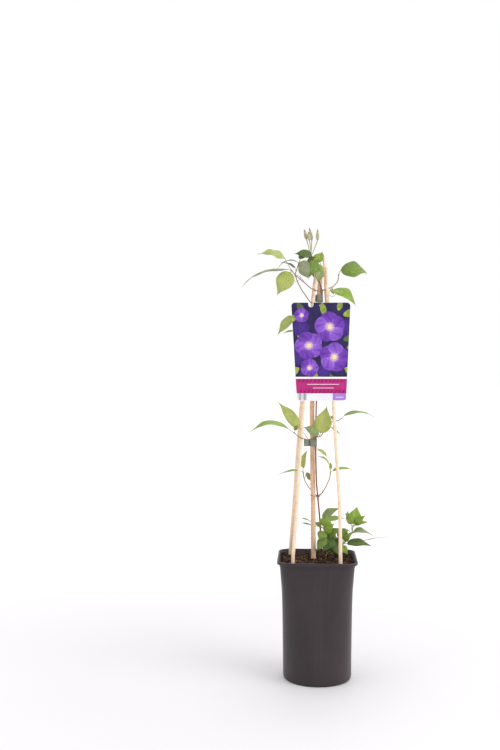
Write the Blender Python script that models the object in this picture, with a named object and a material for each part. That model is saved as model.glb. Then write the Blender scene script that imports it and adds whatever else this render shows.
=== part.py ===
"""Potted climbing plant: nursery pot, soil, five canes, tape ties, hanging label, stems, leaves, flower buds.

Blender units are metres; the tables are in millimetres. Origin at the centre of the pot's base,
+Z up, -Y towards the side the label faces. Every piece is a closed body of its own, GAP from its neighbours.
"""
import math

import bpy
from mathutils import Vector

MM = 0.001
GAP = 0.3                     # air left between neighbouring pieces
POT_HEIGHT = 208.0
POT_WALL = 1.5
POT_FLOOR = 2.5
POT_SIDES = 64                # points round the pot
DRAIN_HOLES, DRAIN_RING, DRAIN_RADIUS = 8, 40.0, 4.0
SOIL_TOP = 201.0
INNER_LEVELS = (199.5, 175.0, 150.0, 120.0, 60.0, 7.0)
LABEL_CENTRE = (6.8, -22.55, 560.0)
LABEL_TURN = 3.5              # degrees about the upright
LABEL_LEAN = 4.9              # degrees back from the upright
LABEL_HEIGHT, LABEL_TOP, LABEL_BOTTOM = 168.0, 101.0, 84.0
LABEL_THICK = 1.0
LABEL_CORNER = 6.0
LEAF_THICK = 1.0
LEAF_STALK = 0.6              # radius of a leaflet's own stalk

# Outside of the pot from the base up: height, half the side, corner radius (a circle low down, square on top)
POT_OUTSIDE = [
    (0.0, 55.2, 55.2), (1.0, 57.0, 57.0), (3.0, 58.1, 58.1), (6.0, 58.6, 58.6), (60.0, 58.8, 50.0),
    (120.0, 59.3, 40.0), (150.0, 59.8, 33.0), (175.0, 61.2, 26.0), (198.0, 62.7, 20.5), (199.0, 63.3, 20.5),
    (202.4, 63.6, 20.5), (203.0, 67.2, 22.0), (207.4, 67.6, 22.0), (208.0, 67.1, 21.5)]

# Canes: top radius, bottom radius, axis points from the buried end up
CANES = {
    "cane_front_left": (2.25, 3.15, [(-41.5, -48, 150), (-41, -49, 205), (-34, -42, 310), (-22, -28, 476),
                                     (-5, -11, 657), (1, -8, 710)]),
    "cane_back_left": (2.3, 3.0, [(-44.5, 42, 150), (-47, 42, 201), (-40, 35, 300), (-27, 22, 475),
                                  (-8, 9, 650), (-1, 6, 705)]),
    "cane_front_right": (2.4, 3.25, [(40, -45.5, 150), (39, -44, 204), (37, -37, 310), (27, -25, 476),
                                     (18, -10, 648), (16, -7, 705)]),
    "cane_back_right": (2.2, 2.75, [(42, 47, 150), (42, 48, 201), (39, 39, 300), (29, 26, 475),
                                    (17, 10, 633), (14, 7, 684), (12, 5, 724)]),
    "cane_centre": (3.9, 4.25, [(-6, 12, 150), (-6, 12, 201), (-7, 9, 303), (-8, 5, 475), (-2.5, 2, 572),
                                (4, -1, 663), (6, -2, 708)]),
}

# Stems and leaf stalks: start radius, end radius, axis points from the root or joint outwards
STEMS = {
    "main_stem": (1.5, 0.8, [(10, 38, 185), (10, 37, 201), (8, 33, 219), (5, 20, 269), (2, 10, 302),
                             (-1, 3, 339), (-2.2, 1.9, 403), (-1, 0.3, 475), (3, -1.8, 560), (5.6, -3.2, 600),
                             (7.8, -3.8, 640), (8.5, -5.2, 663), (4, -9.4, 680), (-1.5, -13.6, 695),
                             (-5.5, -12, 712), (-10, -7, 727)]),
    "side_shoot_right": (1.1, 0.8, [(17, 31, 190), (16, 30, 203), (23, 27, 212), (37, 28, 217), (51, 31, 229),
                                    (61, 33.5, 242), (63, 34, 254)]),
    "side_shoot_left": (1.0, 0.8, [(9.4, 28.2, 228), (13, 22, 236), (13.4, 18, 246), (11, 16, 254)]),
    "stalk_top_left": (0.9, 0.75, [(7.3, -7.2, 664), (1, -11.5, 664), (-5, -15.2, 665.5), (-12, -17, 669),
                                   (-21, -19, 677), (-36, -24, 689), (-44, -27, 698)]),
    "stalk_top_inner": (0.9, 0.75, [(6.4, -5.2, 640), (1, -7, 641), (-5, -5.5, 642), (-11, -4, 645),
                                    (-17, -5, 653), (-29, -6, 671), (-37, -8, 691), (-35, -10, 700),
                                    (-31, -12, 712)]),
    "stalk_top_right": (0.9, 0.75, [(9.6, -4.7, 665.5), (17, -1, 668), (28, 4, 673), (36, 7, 683),
                                    (37.5, 10, 694)]),
    "stalk_behind_label": (0.9, 0.75, [(3.1, -3.9, 585), (-3, -6.5, 588), (-12, -3, 598), (-25, 0, 609),
                                       (-36, 1, 618)]),
    "stalk_middle_left": (0.9, 0.75, [(-3.4, -0.2, 413), (-8, -5, 411), (-15, -18, 410), (-21, -33, 412),
                                      (-27, -37.8, 414), (-33, -40, 417.5), (-39, -42, 423)]),
    "stalk_middle_right": (0.9, 0.75, [(-0.9, 0.2, 414), (5, -5, 414), (12, -11, 423), (24, -13, 439),
                                       (36, -10, 442), (42, -9, 446)]),
    "stalk_lower_left": (0.9, 0.75, [(0.7, 10.4, 309), (-3, 16, 312), (-10, 16.5, 319), (-17, 14, 329),
                                     (-22, 11, 339), (-24, 9, 352)]),
    "stalk_lower_right": (0.9, 0.75, [(3.4, 7.4, 310), (8, 5.5, 315), (12, 3, 321), (21, -3, 341),
                                      (23, -5, 353)]),
}

# Flower buds: stalk points from the joint up, bud tip, widest radius
BUDS = {
    "flower_bud_left": ([(-11.8, -6.9, 727.3), (-14.5, -8, 740), (-18, -9.5, 753)], (-22, -11, 770), 3.1),
    "flower_bud_front": ([(-10.3, -8.9, 727.5), (-11.5, -12, 740), (-13, -14, 750)], (-15, -18, 765), 2.9),
    "flower_bud_back": ([(-9.9, -5.1, 727.2), (-9.5, -1, 740), (-9, 1, 753)], (-13, 4, 775), 3.1),
    "flower_bud_right": ([(-8.1, -7, 727.6), (-3, -5, 741), (1, -4.5, 752)], (1, -4, 771), 3.0),
}

# Leaflets: own stalk from its joint to the blade, blade tip, blade width, way its upper face looks,
# rise of the arched midrib, fold (slope of each half up from the midrib)
LEAVES = {
    "leaf_top_outer": ([(-43.4, -25.2, 697.8), (-47, -25.5, 704), (-55, -29, 718)], (-100, -40, 725),
                       19, (0.2, -0.6, 0.8), 6, 0.2),
    "leaf_top_long": ([(-45, -27.4, 698.2), (-50, -29, 699)], (-126, -48, 669), 21, (0, 0, 1), 12, -0.2),
    "leaf_top_hanging": ([(-42.8, -27.8, 695.6), (-46, -31, 694)], (-68, -38, 654), 29, (0, -1, 0.3), 2, 0.1),
    "leaf_top_dark": ([(-32.2, -11.6, 712.4), (-36, -9, 715)], (-67, 2, 705), 15, (0, -0.2, 1), 6, 0.2),
    "leaf_top_woolly": ([(-30.5, -13.2, 712.3), (-28, -17, 713.5)], (-14, -27, 682), 20,
                        (0.5, 0.8, 0.3), 2, 0.1),
    "leaf_top_back": ([(-30.4, -11.1, 712.6), (-29, -8, 719)], (-9, 15, 734), 13, (0, -0.5, 1), 4, 0.2),
    "leaf_crown_bright": ([(-4.8, -10.2, 713.5), (-3, -2, 715), (0, 4, 715)], (10, 17, 735), 11,
                          (0, -0.7, 0.7), 1, 0.2),
    "leaf_crown_dark": ([(-9.2, -6.6, 722.4), (-10.5, 0, 727), (-8.5, 8, 726)], (-5, 16, 687), 10,
                        (0, -1, 0), 1, 0.2),
    "leaf_crown_front": ([(-0.6, -14.7, 697), (4, -19, 701), (7, -20, 698)], (0, -26, 677), 11,
                         (0, -1, 0.2), 1, 0.2),
    "leaf_right_large": ([(38.3, 9.9, 694.9), (41, 10.5, 701)], (88, 26, 696), 24, (0.1, -0.6, 0.8), 15, -0.2),
    "leaf_right_lower": ([(26.6, 1.6, 671.4), (28, -3, 666)], (66, -22, 635), 17, (0.3, -0.5, 0.8), 12, 0.1),
    "leaf_behind_label": ([(-36.8, 0.9, 618.2), (-42, 1, 622)], (-68, -2, 588), 16, (-0.3, -0.8, 0.5), 3, 0.1),
    "leaf_middle_outer": ([(-39.8, -42.2, 423.2), (-47, -43, 428)], (-116, -55, 420), 20, (0, -0.3, 1), 16, 0.2),
    "leaf_middle_upper": ([(-15.5, -16.8, 410.8), (-22, -13, 420), (-31, -12, 430)], (-68, -18, 475), 19,
                          (0.4, -0.9, 0.3), 3, 0.1),
    "leaf_middle_arched": ([(1.2, -3.6, 414.6), (2, -9, 417), (3, -17, 419)], (-25, -17, 431), 16,
                           (0, -0.8, 0.6), 5, -0.1),
    "leaf_middle_broad": ([(4, -6.2, 413.6), (4.5, -10.5, 417), (6, -14, 421)], (17, -17, 468), 24,
                          (0, -1, 0.1), 2, 0.1),
    "leaf_middle_right": ([(42.6, -8.9, 446.4), (46, -8, 450)], (103, 12, 444), 17, (0, -0.2, 1), 9, 0.2),
    "leaf_lower_upright": ([(-23.9, 8.1, 352.6), (-24, 7, 359)], (-15, 1, 392), 11, (-0.6, -0.8, 0.2), 6, 0.2),
    "leaf_lower_left": ([(-25.3, 9.4, 352.1), (-31, 10, 354)], (-69, 20, 344), 12, (0, -0.2, 1), 3, 0.2),
    "leaf_lower_inner": ([(22.5, -6, 353.5), (22, -7, 360)], (-3, -14, 381), 11, (0.3, -0.3, 0.9), 8, 0.1),
    "leaf_below_tie": ([(-1.4, 0.2, 391), (-1, -5, 394), (1, -8, 393)], (18, -13, 377), 11,
                       (0.3, -0.3, 0.9), 3, 0.1),
    "leaf_lower_right": ([(24, -4.3, 353.3), (27, -2, 355)], (67, 14, 353), 15, (0, -0.2, 1), 5, 0.2),
    "leaf_bush_left": ([(9.9, 15.9, 254.2), (0, 20, 258), (-9, 20, 262)], (-30, 6, 272), 9, (0, -0.3, 1), 2, 0.2),
    "leaf_bush_round": ([(11.1, 15, 254.8), (12, 12.5, 256)], (20, 7, 277), 19, (0, -1, 0.4), 2, -0.1),
    "leaf_bush_high": ([(7.1, 22.7, 264), (10, 24, 269)], (41, 22, 288), 15, (-0.2, -0.6, 0.8), 4, 0.2),
    "leaf_bush_inner": ([(7.4, 24, 258), (11, 27, 262), (14, 28, 264)], (50, 33, 268), 13, (0, -0.4, 1), 3, 0.2),
    "leaf_bush_small": ([(13.2, 16.3, 246), (13, 14, 248)], (3, 6, 232), 14, (0, -0.8, 0.6), 3, 0.1),
    "leaf_bush_broad": ([(15, 20.2, 241), (20, 21, 242), (25, 19, 239)], (10, 6, 213), 24, (0, -0.9, 0.5), 3, 0.1),
    "leaf_bush_low": ([(14.2, 23.2, 235.4), (20, 25, 239), (27, 23, 237)], (38, 10, 206), 20,
                      (0, -0.9, 0.4), 3, 0.1),
    "leaf_shoot_upright": ([(63.2, 34.1, 254.6), (63.6, 34.4, 258)], (71, 38, 290), 17, (0.1, -1, 0.1), 1, 0.2),
    "leaf_shoot_right": ([(64.5, 33.8, 253.4), (67, 34, 256.5)], (91, 30, 262), 12, (0, -0.4, 1), 2, 0.2),
    "leaf_shoot_front": ([(61.2, 31.8, 242), (62.5, 28.5, 244.5)], (86, 17, 250), 14, (0, -0.5, 1), 3, 0.2),
    "leaf_shoot_low": ([(46.1, 28, 224.2), (53, 26.5, 226)], (96, 18, 222), 16, (0, -0.6, 0.9), 5, 0.2),
    "leaf_shoot_far": ([(52.2, 32.4, 228.4), (62, 35, 225), (72, 36, 226)], (131, 44, 235), 14,
                       (0, 0.15, 1), 2, 0.1),
}

COLOURS = {
    "pot": ((0.045, 0.042, 0.046), 0.5), "soil": ((0.035, 0.02, 0.012), 0.95), "cane": ((0.66, 0.45, 0.25), 0.55),
    "label": ((0.2, 0.09, 0.5), 0.35), "tie": ((0.2, 0.25, 0.2), 0.5), "stem": ((0.3, 0.1, 0.06), 0.6),
    "leaf": ((0.2, 0.34, 0.06), 0.5), "bud": ((0.42, 0.4, 0.24), 0.6)}


def material(kind):
    mat = bpy.data.materials.get(kind)
    if mat is None:
        mat = bpy.data.materials.new(kind)
        mat.use_nodes = True
        shader = mat.node_tree.nodes["Principled BSDF"]
        colour, roughness = COLOURS[kind]
        shader.inputs["Base Color"].default_value = (*colour, 1.0)
        shader.inputs["Roughness"].default_value = roughness
    return mat


def body(name, points, faces, kind, smooth=True):
    """Make one object from points in millimetres."""
    mesh = bpy.data.meshes.new(name)
    mesh.from_pydata([Vector(p) * MM for p in points], [], faces)
    mesh.update()
    for face in mesh.polygons:
        face.use_smooth = smooth
    obj = bpy.data.objects.new(name, mesh)
    obj.data.materials.append(material(kind))
    bpy.context.scene.collection.objects.link(obj)
    return obj


def cut(target, tool):
    """Take the tool's volume away from the target; the tool itself is not part of the model."""
    tool.hide_render = True
    tool.display_type = "WIRE"
    modifier = target.modifiers.new("cut_" + tool.name, "BOOLEAN")
    modifier.operation = "DIFFERENCE"
    modifier.solver = "EXACT"
    modifier.object = tool


def stack(rings, first, count, turned=False):
    """Side faces between consecutive rings of equal count; turned starts each one a corner later."""
    faces = []
    for r in range(rings - 1):
        for i in range(count):
            a, b = first + r * count + i, first + r * count + (i + 1) % count
            faces.append((b, b + count, a + count, a) if turned else (a, b, b + count, a + count))
    return faces


def smooth_route(points, steps):
    """Catmull-Rom curve through the points."""
    pts = [Vector(p) for p in points]
    ends = [pts[0] * 2 - pts[1]] + pts + [pts[-1] * 2 - pts[-2]]
    route = []
    for a, b, c, d in zip(ends, ends[1:], ends[2:], ends[3:]):
        for k in range(steps):
            t = k / steps
            route.append(0.5 * (2 * b + (c - a) * t + (2 * a - 5 * b + 4 * c - d) * t * t
                                + (3 * b - 3 * c + d - a) * t ** 3))
    return route + [pts[-1]]


def frames(path, start, normal):
    """Tangent, normal and side at every point of a path, twist-free; the normal is given at point start."""
    last = len(path) - 1
    tangents = [(path[min(i + 1, last)] - path[max(i - 1, 0)]).normalized() for i in range(last + 1)]
    normals = [None] * (last + 1)
    normals[start] = (normal - tangents[start] * normal.dot(tangents[start])).normalized()
    for order, step in ((range(start + 1, last + 1), -1), (range(start - 1, -1, -1), 1)):
        for i in order:
            turn = tangents[i + step].rotation_difference(tangents[i])
            normals[i] = turn @ normals[i + step]
    return [(t, n, t.cross(n)) for t, n in zip(tangents, normals)]


def tube_points(route, radii, sides):
    points = []
    across = Vector((1, 0, 0)) if abs((route[1] - route[0]).normalized().x) < 0.8 else Vector((0, 0, 1))
    for p, radius, (_, n, s) in zip(route, radii, frames(route, 0, across)):
        for i in range(sides):
            angle = 2 * math.pi * i / sides
            points.append(p + n * (radius * math.cos(angle)) + s * (radius * math.sin(angle)))
    return points


def tube(name, route, radii, sides, kind):
    """Closed round bar along a route."""
    points = tube_points(route, radii, sides)
    faces = stack(len(route), 0, sides)
    faces.append(tuple(reversed(range(sides))))
    faces.append(tuple(range(len(points) - sides, len(points))))
    return body(name, points, faces, kind)


def taper(route, first, last):
    return [first + (last - first) * i / (len(route) - 1) for i in range(len(route))]


def square_reach(angle, half, corner):
    """Distance from the axis to a square with rounded corners, along an angle."""
    dx, dy = abs(math.cos(angle)), abs(math.sin(angle))
    core = half - corner
    flat = half / max(dx, dy)
    if min(dx, dy) * flat <= core:
        return flat
    along = (dx + dy) * core
    return along + math.sqrt(max(along * along - 2 * core * core + corner * corner, 0.0))


def square_ring(z, half, corner):
    ring = []
    for i in range(POT_SIDES):
        angle = 2 * math.pi * i / POT_SIDES
        reach = square_reach(angle, half, corner)
        ring.append(Vector((reach * math.cos(angle), reach * math.sin(angle), z)))
    return ring


def inside(z, clearance):
    """Half side and corner radius of the pot's inside at a height, less a clearance."""
    wall = [(h, a, r) for h, a, r in POT_OUTSIDE if 1.0 < h <= 202.4]
    for (z0, a0, r0), (z1, a1, r1) in zip(wall, wall[1:]):
        if z <= z1:
            break
    t = (z - z0) / (z1 - z0)
    less = POT_WALL + clearance
    return a0 + (a1 - a0) * t - less, r0 + (r1 - r0) * t - less


def build_pot():
    rings = [square_ring(*row) for row in POT_OUTSIDE]
    rings.append(square_ring(POT_HEIGHT, 65.4, 20.0))
    rings.append(square_ring(207.0, 64.8, 19.5))
    for z in (202.4, *INNER_LEVELS):
        rings.append(square_ring(z, *inside(z, 0.0)))
    rings.append(square_ring(POT_FLOOR, *inside(3.0, 1.8)))
    points = [p for ring in rings for p in ring]
    faces = stack(len(rings), 0, POT_SIDES)
    faces.append(tuple(reversed(range(POT_SIDES))))
    faces.append(tuple(range(len(points) - POT_SIDES, len(points))))
    pot = body("pot", points, faces, "pot")
    points, faces = [], []
    for k in range(DRAIN_HOLES):
        angle = 2 * math.pi * (k + 0.5) / DRAIN_HOLES
        centre = Vector((DRAIN_RING * math.cos(angle), DRAIN_RING * math.sin(angle), 0))
        first = len(points)
        for z in (-2.0, POT_FLOOR + 2.0):
            for i in range(12):
                turn = 2 * math.pi * i / 12
                points.append(centre + Vector((DRAIN_RADIUS * math.cos(turn), DRAIN_RADIUS * math.sin(turn), z)))
        faces += stack(2, first, 12)
        faces.append(tuple(reversed(range(first, first + 12))))
        faces.append(tuple(range(first + 12, first + 24)))
    cut(pot, body("drain_hole_tool", points, faces, "pot"))


def build_soil():
    rings = []
    rings.append(square_ring(POT_FLOOR + GAP, *inside(3.0, 1.8 + 2 * GAP)))
    for z in reversed(INNER_LEVELS):
        rings.append(square_ring(z, *inside(z, GAP)))
    half, corner = inside(SOIL_TOP, GAP)
    for k, share in enumerate((0.95, 0.7, 0.4)):
        ring = square_ring(SOIL_TOP, half * share, corner * share)
        for i, p in enumerate(ring):
            p.z += 0.9 * math.sin(0.7 * i + 2.1 * k) + 0.6 * math.sin(1.9 * i - 1.3 * k) * (share < 0.9)
        rings.append(ring)
    points = [p for ring in rings for p in ring]
    faces = stack(len(rings), 0, POT_SIDES, turned=True)
    faces.append(tuple(reversed(range(POT_SIDES))))
    points.append(Vector((0, 0, SOIL_TOP + 0.5)))
    first = len(points) - 1 - POT_SIDES
    faces += [(first + i, first + (i + 1) % POT_SIDES, len(points) - 1) for i in range(POT_SIDES)]
    soil = body("potting_soil", points, faces, "soil")
    tools = [(p, r1 + GAP) for r0, r1, p in CANES.values()]
    tools += [(STEMS[name][2], STEMS[name][0] + GAP) for name in ("main_stem", "side_shoot_right")]
    points, faces = [], []
    for axis, radius in tools:
        line = smooth_route(axis, 2)
        route = line[:next(i for i, p in enumerate(line) if p.z > SOIL_TOP + 8) + 1]
        route[0] = route[0] - (route[1] - route[0]).normalized() * GAP
        first = len(points)
        points += tube_points(route, [radius] * len(route), 16)
        faces += stack(len(route), first, 16)
        faces.append(tuple(reversed(range(first, first + 16))))
        faces.append(tuple(range(len(points) - 16, len(points))))
    cut(soil, body("soil_hole_tool", points, faces, "soil"))


def build_label():
    """Flat stake label: wider at the top, rounded corners, a notch and a punched hole on the top edge."""
    top, low = LABEL_HEIGHT / 2, -LABEL_HEIGHT / 2
    outline = []
    corners = [(-LABEL_BOTTOM / 2, low, 180), (LABEL_BOTTOM / 2, low, 270), (LABEL_TOP / 2, top, 0),
               (-LABEL_TOP / 2, top, 90)]
    for x, y, start in corners:
        cx, cy = x - math.copysign(LABEL_CORNER, x), y - math.copysign(LABEL_CORNER, y)
        for k in range(6):
            angle = math.radians(start + 18 * k)
            outline.append((cx + LABEL_CORNER * math.cos(angle), cy + LABEL_CORNER * math.sin(angle)))
        if start == 0:
            outline += [(-12.5, top), (-13.5, top - 5), (-15.5, top - 7), (-18.5, top - 7),
                        (-20.5, top - 5), (-21.5, top)]
    turn, lean = math.radians(LABEL_TURN), math.radians(LABEL_LEAN)
    across = Vector((math.cos(turn), math.sin(turn), 0))
    up = Vector((-math.sin(turn) * math.sin(lean), math.cos(turn) * math.sin(lean), math.cos(lean)))
    out = across.cross(up)
    centre = Vector(LABEL_CENTRE)

    def slab(name, flat, depth):
        points = [centre + across * x + up * y + out * (side * depth / 2) for side in (1, -1) for x, y in flat]
        n = len(flat)
        faces = [tuple(range(n)), tuple(reversed(range(n, 2 * n)))]
        faces += [((i + 1) % n, i, i + n, (i + 1) % n + n) for i in range(n)]
        return body(name, points, faces, "label", smooth=False)

    label = slab("plant_label", outline, LABEL_THICK)
    ring = [(-0.6 + 2.0 * math.cos(math.pi * k / 6), top - 5 + 2.0 * math.sin(math.pi * k / 6)) for k in range(12)]
    cut(label, slab("label_hole_tool", ring, LABEL_THICK * 3))


def build_tie(name, cane, cane_radius, stem, stem_radius, low, high, tails):
    """Tape wrapped round the centre cane and the stem, its two ends left together as tails."""
    thick, slack = 0.8, 0.75
    c, s = Vector(cane), Vector(stem)
    rc, rs = cane_radius + slack + thick / 2, stem_radius + slack + thick / 2
    towards = math.atan2((s - c).y, (s - c).x)
    spread = math.acos((rc - rs) / (s - c).length)

    def arc(centre, radius, a, b, steps):
        return [centre + Vector((math.cos(a + (b - a) * k / steps), math.sin(a + (b - a) * k / steps))) * radius
                for k in range(steps + 1)]

    path = [Vector(p) for p in tails[0]]
    path += arc(c, rc, math.radians(-172), towards - spread, 5)
    path += arc(s, rs, towards - spread, towards + spread, 6)[1:]
    path += arc(c, rc, towards + spread, math.radians(160), 7)[1:]
    path += [Vector(p) for p in tails[1]]
    left, right = [], []
    for i, p in enumerate(path):
        along = (path[min(i + 1, len(path) - 1)] - path[max(i - 1, 0)]).normalized()
        side = Vector((-along.y, along.x)) * (thick / 2)
        left.append(p + side)
        right.append(p - side)
    n = len(path)
    points = [(p.x, p.y, z) for z in (low, high) for p in left + right]
    faces = []
    for i in range(n - 1):
        a, b, c0, d = i, i + 1, n + i, n + i + 1
        up = 2 * n
        faces += [(a, b, d, c0), (c0 + up, d + up, b + up, a + up), (b, a, a + up, b + up),
                  (c0, d, d + up, c0 + up)]
    faces += [(0, n, 3 * n, 2 * n), (2 * n - 1, n - 1, 3 * n - 1, 4 * n - 1)]
    body(name, points, faces, "tie", smooth=False)


def build_bud(name, stalk, tip, widest):
    route = smooth_route(stalk, 2)
    radii = taper(route, 0.6, 0.85)
    base, tip = Vector(stalk[-1]), Vector(tip)
    for share, size in ((0.07, 0.62), (0.2, 0.92), (0.38, 1.0), (0.58, 0.8), (0.8, 0.4), (1.0, 0.1)):
        route.append(base.lerp(tip, share))
        radii.append(widest * size)
    tube(name, route, radii, 8, "bud")


def half_width(u):
    """Outline of a leaflet, 0 to 1, along the blade: round near the stalk, long-pointed at the tip."""
    if u < 0.36:
        return math.sqrt(1 - ((0.36 - u) / 0.36) ** 2)
    return ((1 + math.cos(math.pi * (u - 0.36) / 0.64)) / 2) ** 0.85


def build_leaf(name, stalk, tip, width, face, arch, fold):
    route = [Vector(p) for p in stalk]
    base, tip = route[-1], Vector(tip)
    chord = tip - base
    rise = Vector(face)
    rise = (rise - chord * (rise.dot(chord) / chord.length_squared)).normalized()
    stations = (0.05, 0.16, 0.3, 0.45, 0.6, 0.75, 0.89, 1.0)
    path = route + [base + chord * u + rise * (arch * 4 * u * (1 - u)) for u in stations]
    points = []
    joint = len(route) - 1
    for i, (p, (_, n, s)) in enumerate(zip(path, frames(path, joint, rise))):
        if i <= joint:
            for k in range(6):
                angle = math.pi * k / 3
                points.append(p - s * (LEAF_STALK * math.cos(angle)) + n * (LEAF_STALK * math.sin(angle)))
        elif i < len(path) - 1:
            w = max(half_width(stations[i - joint - 1]) * width / 2, 0.5)
            thick = min(LEAF_THICK, w) / 2
            for a, b in ((1, 0), (0.4, 0.9), (-0.4, 0.9), (-1, 0), (-0.4, -0.9), (0.4, -0.9)):
                points.append(p - s * (a * w) + n * (abs(a) * fold * w + b * thick))
    faces = stack(len(points) // 6, 0, 6)
    faces.append(tuple(reversed(range(6))))
    points.append(path[-1])
    first = len(points) - 7
    faces += [(first + i, first + (i + 1) % 6, len(points) - 1) for i in range(6)]
    body(name, points, faces, "leaf")


for old in list(bpy.data.objects):
    bpy.data.objects.remove(old, do_unlink=True)

build_pot()
build_soil()
for name, (top_radius, low_radius, axis) in CANES.items():
    line = smooth_route(axis, 2)
    tube(name, line, taper(line, low_radius, top_radius), 12, "cane")
build_label()
build_tie("tie_lower", (-7.6, 6.7), 4.2, (-2.2, 1.9), 1.35, 397, 409,
          ([(-22.5, 0.5), (-17, 3.2)], [(-17, 6.2)]))
build_tie("tie_upper", (3.4, -0.7), 4.3, (8.2, -4.5), 1.2, 646, 658,
          ([(-6.5, -4.4), (-4, -2.8)], [(-5, 0.2)]))
for name, (first_radius, last_radius, axis) in STEMS.items():
    line = smooth_route(axis, 2)
    tube(name, line, taper(line, first_radius, last_radius), 8 if name == "main_stem" else 6, "stem")
for name, (stalk, tip, widest) in BUDS.items():
    build_bud(name, stalk, tip, widest)
for name, row in LEAVES.items():
    build_leaf(name, *row)
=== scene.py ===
"""Looks of the potted climbing plant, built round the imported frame. Metres; the tables are in millimetres."""
import math
import random

import bpy
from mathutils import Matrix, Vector, noise


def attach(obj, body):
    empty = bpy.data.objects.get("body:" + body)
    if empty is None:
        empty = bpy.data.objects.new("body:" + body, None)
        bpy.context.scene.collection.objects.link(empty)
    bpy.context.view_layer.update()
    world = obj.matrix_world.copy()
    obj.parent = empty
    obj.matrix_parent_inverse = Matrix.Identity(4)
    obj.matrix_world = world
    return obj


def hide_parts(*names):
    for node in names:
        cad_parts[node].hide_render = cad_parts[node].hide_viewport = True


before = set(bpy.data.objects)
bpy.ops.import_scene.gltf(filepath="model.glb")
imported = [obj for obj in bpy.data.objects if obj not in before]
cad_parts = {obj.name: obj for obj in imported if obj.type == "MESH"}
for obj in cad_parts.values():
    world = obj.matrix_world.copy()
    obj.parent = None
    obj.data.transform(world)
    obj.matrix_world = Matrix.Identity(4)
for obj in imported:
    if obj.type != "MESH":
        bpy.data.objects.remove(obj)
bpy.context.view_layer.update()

MM = 0.001


# ---------------------------------------------------------------- materials
BLACK = (0, 0, 0)


def join(tree, value, socket):
    """Links an output to the socket, or sets a plain number or colour on it."""
    if isinstance(value, bpy.types.NodeSocket):
        tree.links.new(value, socket)
    else:
        socket.default_value = (*value, 1) if socket.type == "RGBA" else value


def shade(colour, share):
    return tuple(part * share for part in colour)


class Nodes:
    """Adds nodes to one tree. Most methods return the new node's output."""

    def __init__(self, tree):
        self.tree = tree

    def node(self, kind, **values):
        """Values are the node's sockets, with _ for a space, or else its settings."""
        made = self.tree.nodes.new("ShaderNode" + kind)
        for key, value in values.items():
            socket = made.inputs.get(key.replace("_", " "))
            if socket is None:
                setattr(made, key, value)
            else:
                join(self.tree, value, socket)
        return made

    def ramp(self, source, *stops):
        made = self.node("ValToRGB", Fac=source)
        for point, (place, colour) in zip(made.color_ramp.elements, stops[:2]):
            point.position = place
            point.color = (*colour, 1)
        for place, colour in stops[2:]:
            made.color_ramp.elements.new(place).color = (*colour, 1)
        return made.outputs["Color"]

    def mask(self, source, start, end, peak=1.0):
        return self.ramp(source, (start, BLACK), (end, (peak,) * 3))

    def mix(self, fac, a, b):
        made = self.node("Mix", data_type="RGBA")
        for index, value in ((0, fac), (6, a), (7, b)):
            join(self.tree, value, made.inputs[index])
        return made.outputs[2]

    def maths(self, operation, *values):
        made = self.node("Math", operation=operation)
        for socket, value in zip(made.inputs, (*values, 0.0, 0.0)):
            join(self.tree, value, socket)
        return made.outputs[0]

    def times(self, a, b):
        return self.maths("MULTIPLY", a, b)

    def plus(self, a, b):
        return self.maths("ADD", a, b)

    def minus(self, a, b):
        return self.maths("SUBTRACT", a, b)

    def line(self, away, half):
        """1 on a line and 0 at half its width."""
        return self.maths("MAXIMUM", self.minus(1.0, self.maths("DIVIDE", away, half)), 0.0)

    def mapped(self, output, scale=(1, 1, 1)):
        coords = self.node("TexCoord")
        return self.node("Mapping", Scale=scale, Vector=coords.outputs[output]).outputs["Vector"]

    def noise(self, vector, scale, detail=3.0, rough=0.5, distortion=0.0):
        return self.node("TexNoise", Vector=vector, Scale=scale, Detail=detail, Roughness=rough,
                         Distortion=distortion).outputs["Fac"]

    def split_uv(self):
        split = self.node("SeparateXYZ", Vector=self.node("TexCoord").outputs["UV"])
        return split.outputs["X"], split.outputs["Y"]


class Finish(Nodes):
    """One material round the Principled shader."""

    def __init__(self, name, roughness=0.5, specular=0.4):
        self.mat = bpy.data.materials.new(name)
        self.mat.use_nodes = True
        super().__init__(self.mat.node_tree)
        self.shader = self.tree.nodes["Principled BSDF"]
        self.feed("Roughness", roughness)
        self.feed("Specular IOR Level", specular)

    def feed(self, key, value):
        join(self.tree, value, self.shader.inputs[key])

    def paint(self, colour):
        self.feed("Base Color", colour)

    def bump(self, height, distance, strength):
        made = self.node("Bump", Strength=strength, Distance=distance, Height=height)
        self.feed("Normal", made.outputs["Normal"])


def pot_material():
    made = Finish("pot_plastic", 0.42, 0.3)
    place = made.mapped("Object")
    cloud = made.noise(place, 14, 4, 0.6)
    streaks = made.noise(made.mapped("Object", (60, 60, 4)), 1.0, 4, 0.6)
    base = made.ramp(cloud, (0.3, (0.030, 0.022, 0.025)), (0.7, (0.041, 0.031, 0.035)))
    made.paint(made.mix(made.mask(streaks, 0.55, 0.8, 0.12), base, (0.12, 0.108, 0.11)))
    made.feed("Roughness", made.maths("MULTIPLY_ADD", cloud, 0.16, 0.30))
    made.bump(made.plus(made.noise(place, 900, 2), made.times(cloud, 3.0)), 0.00012, 0.5)
    return made.mat


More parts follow.
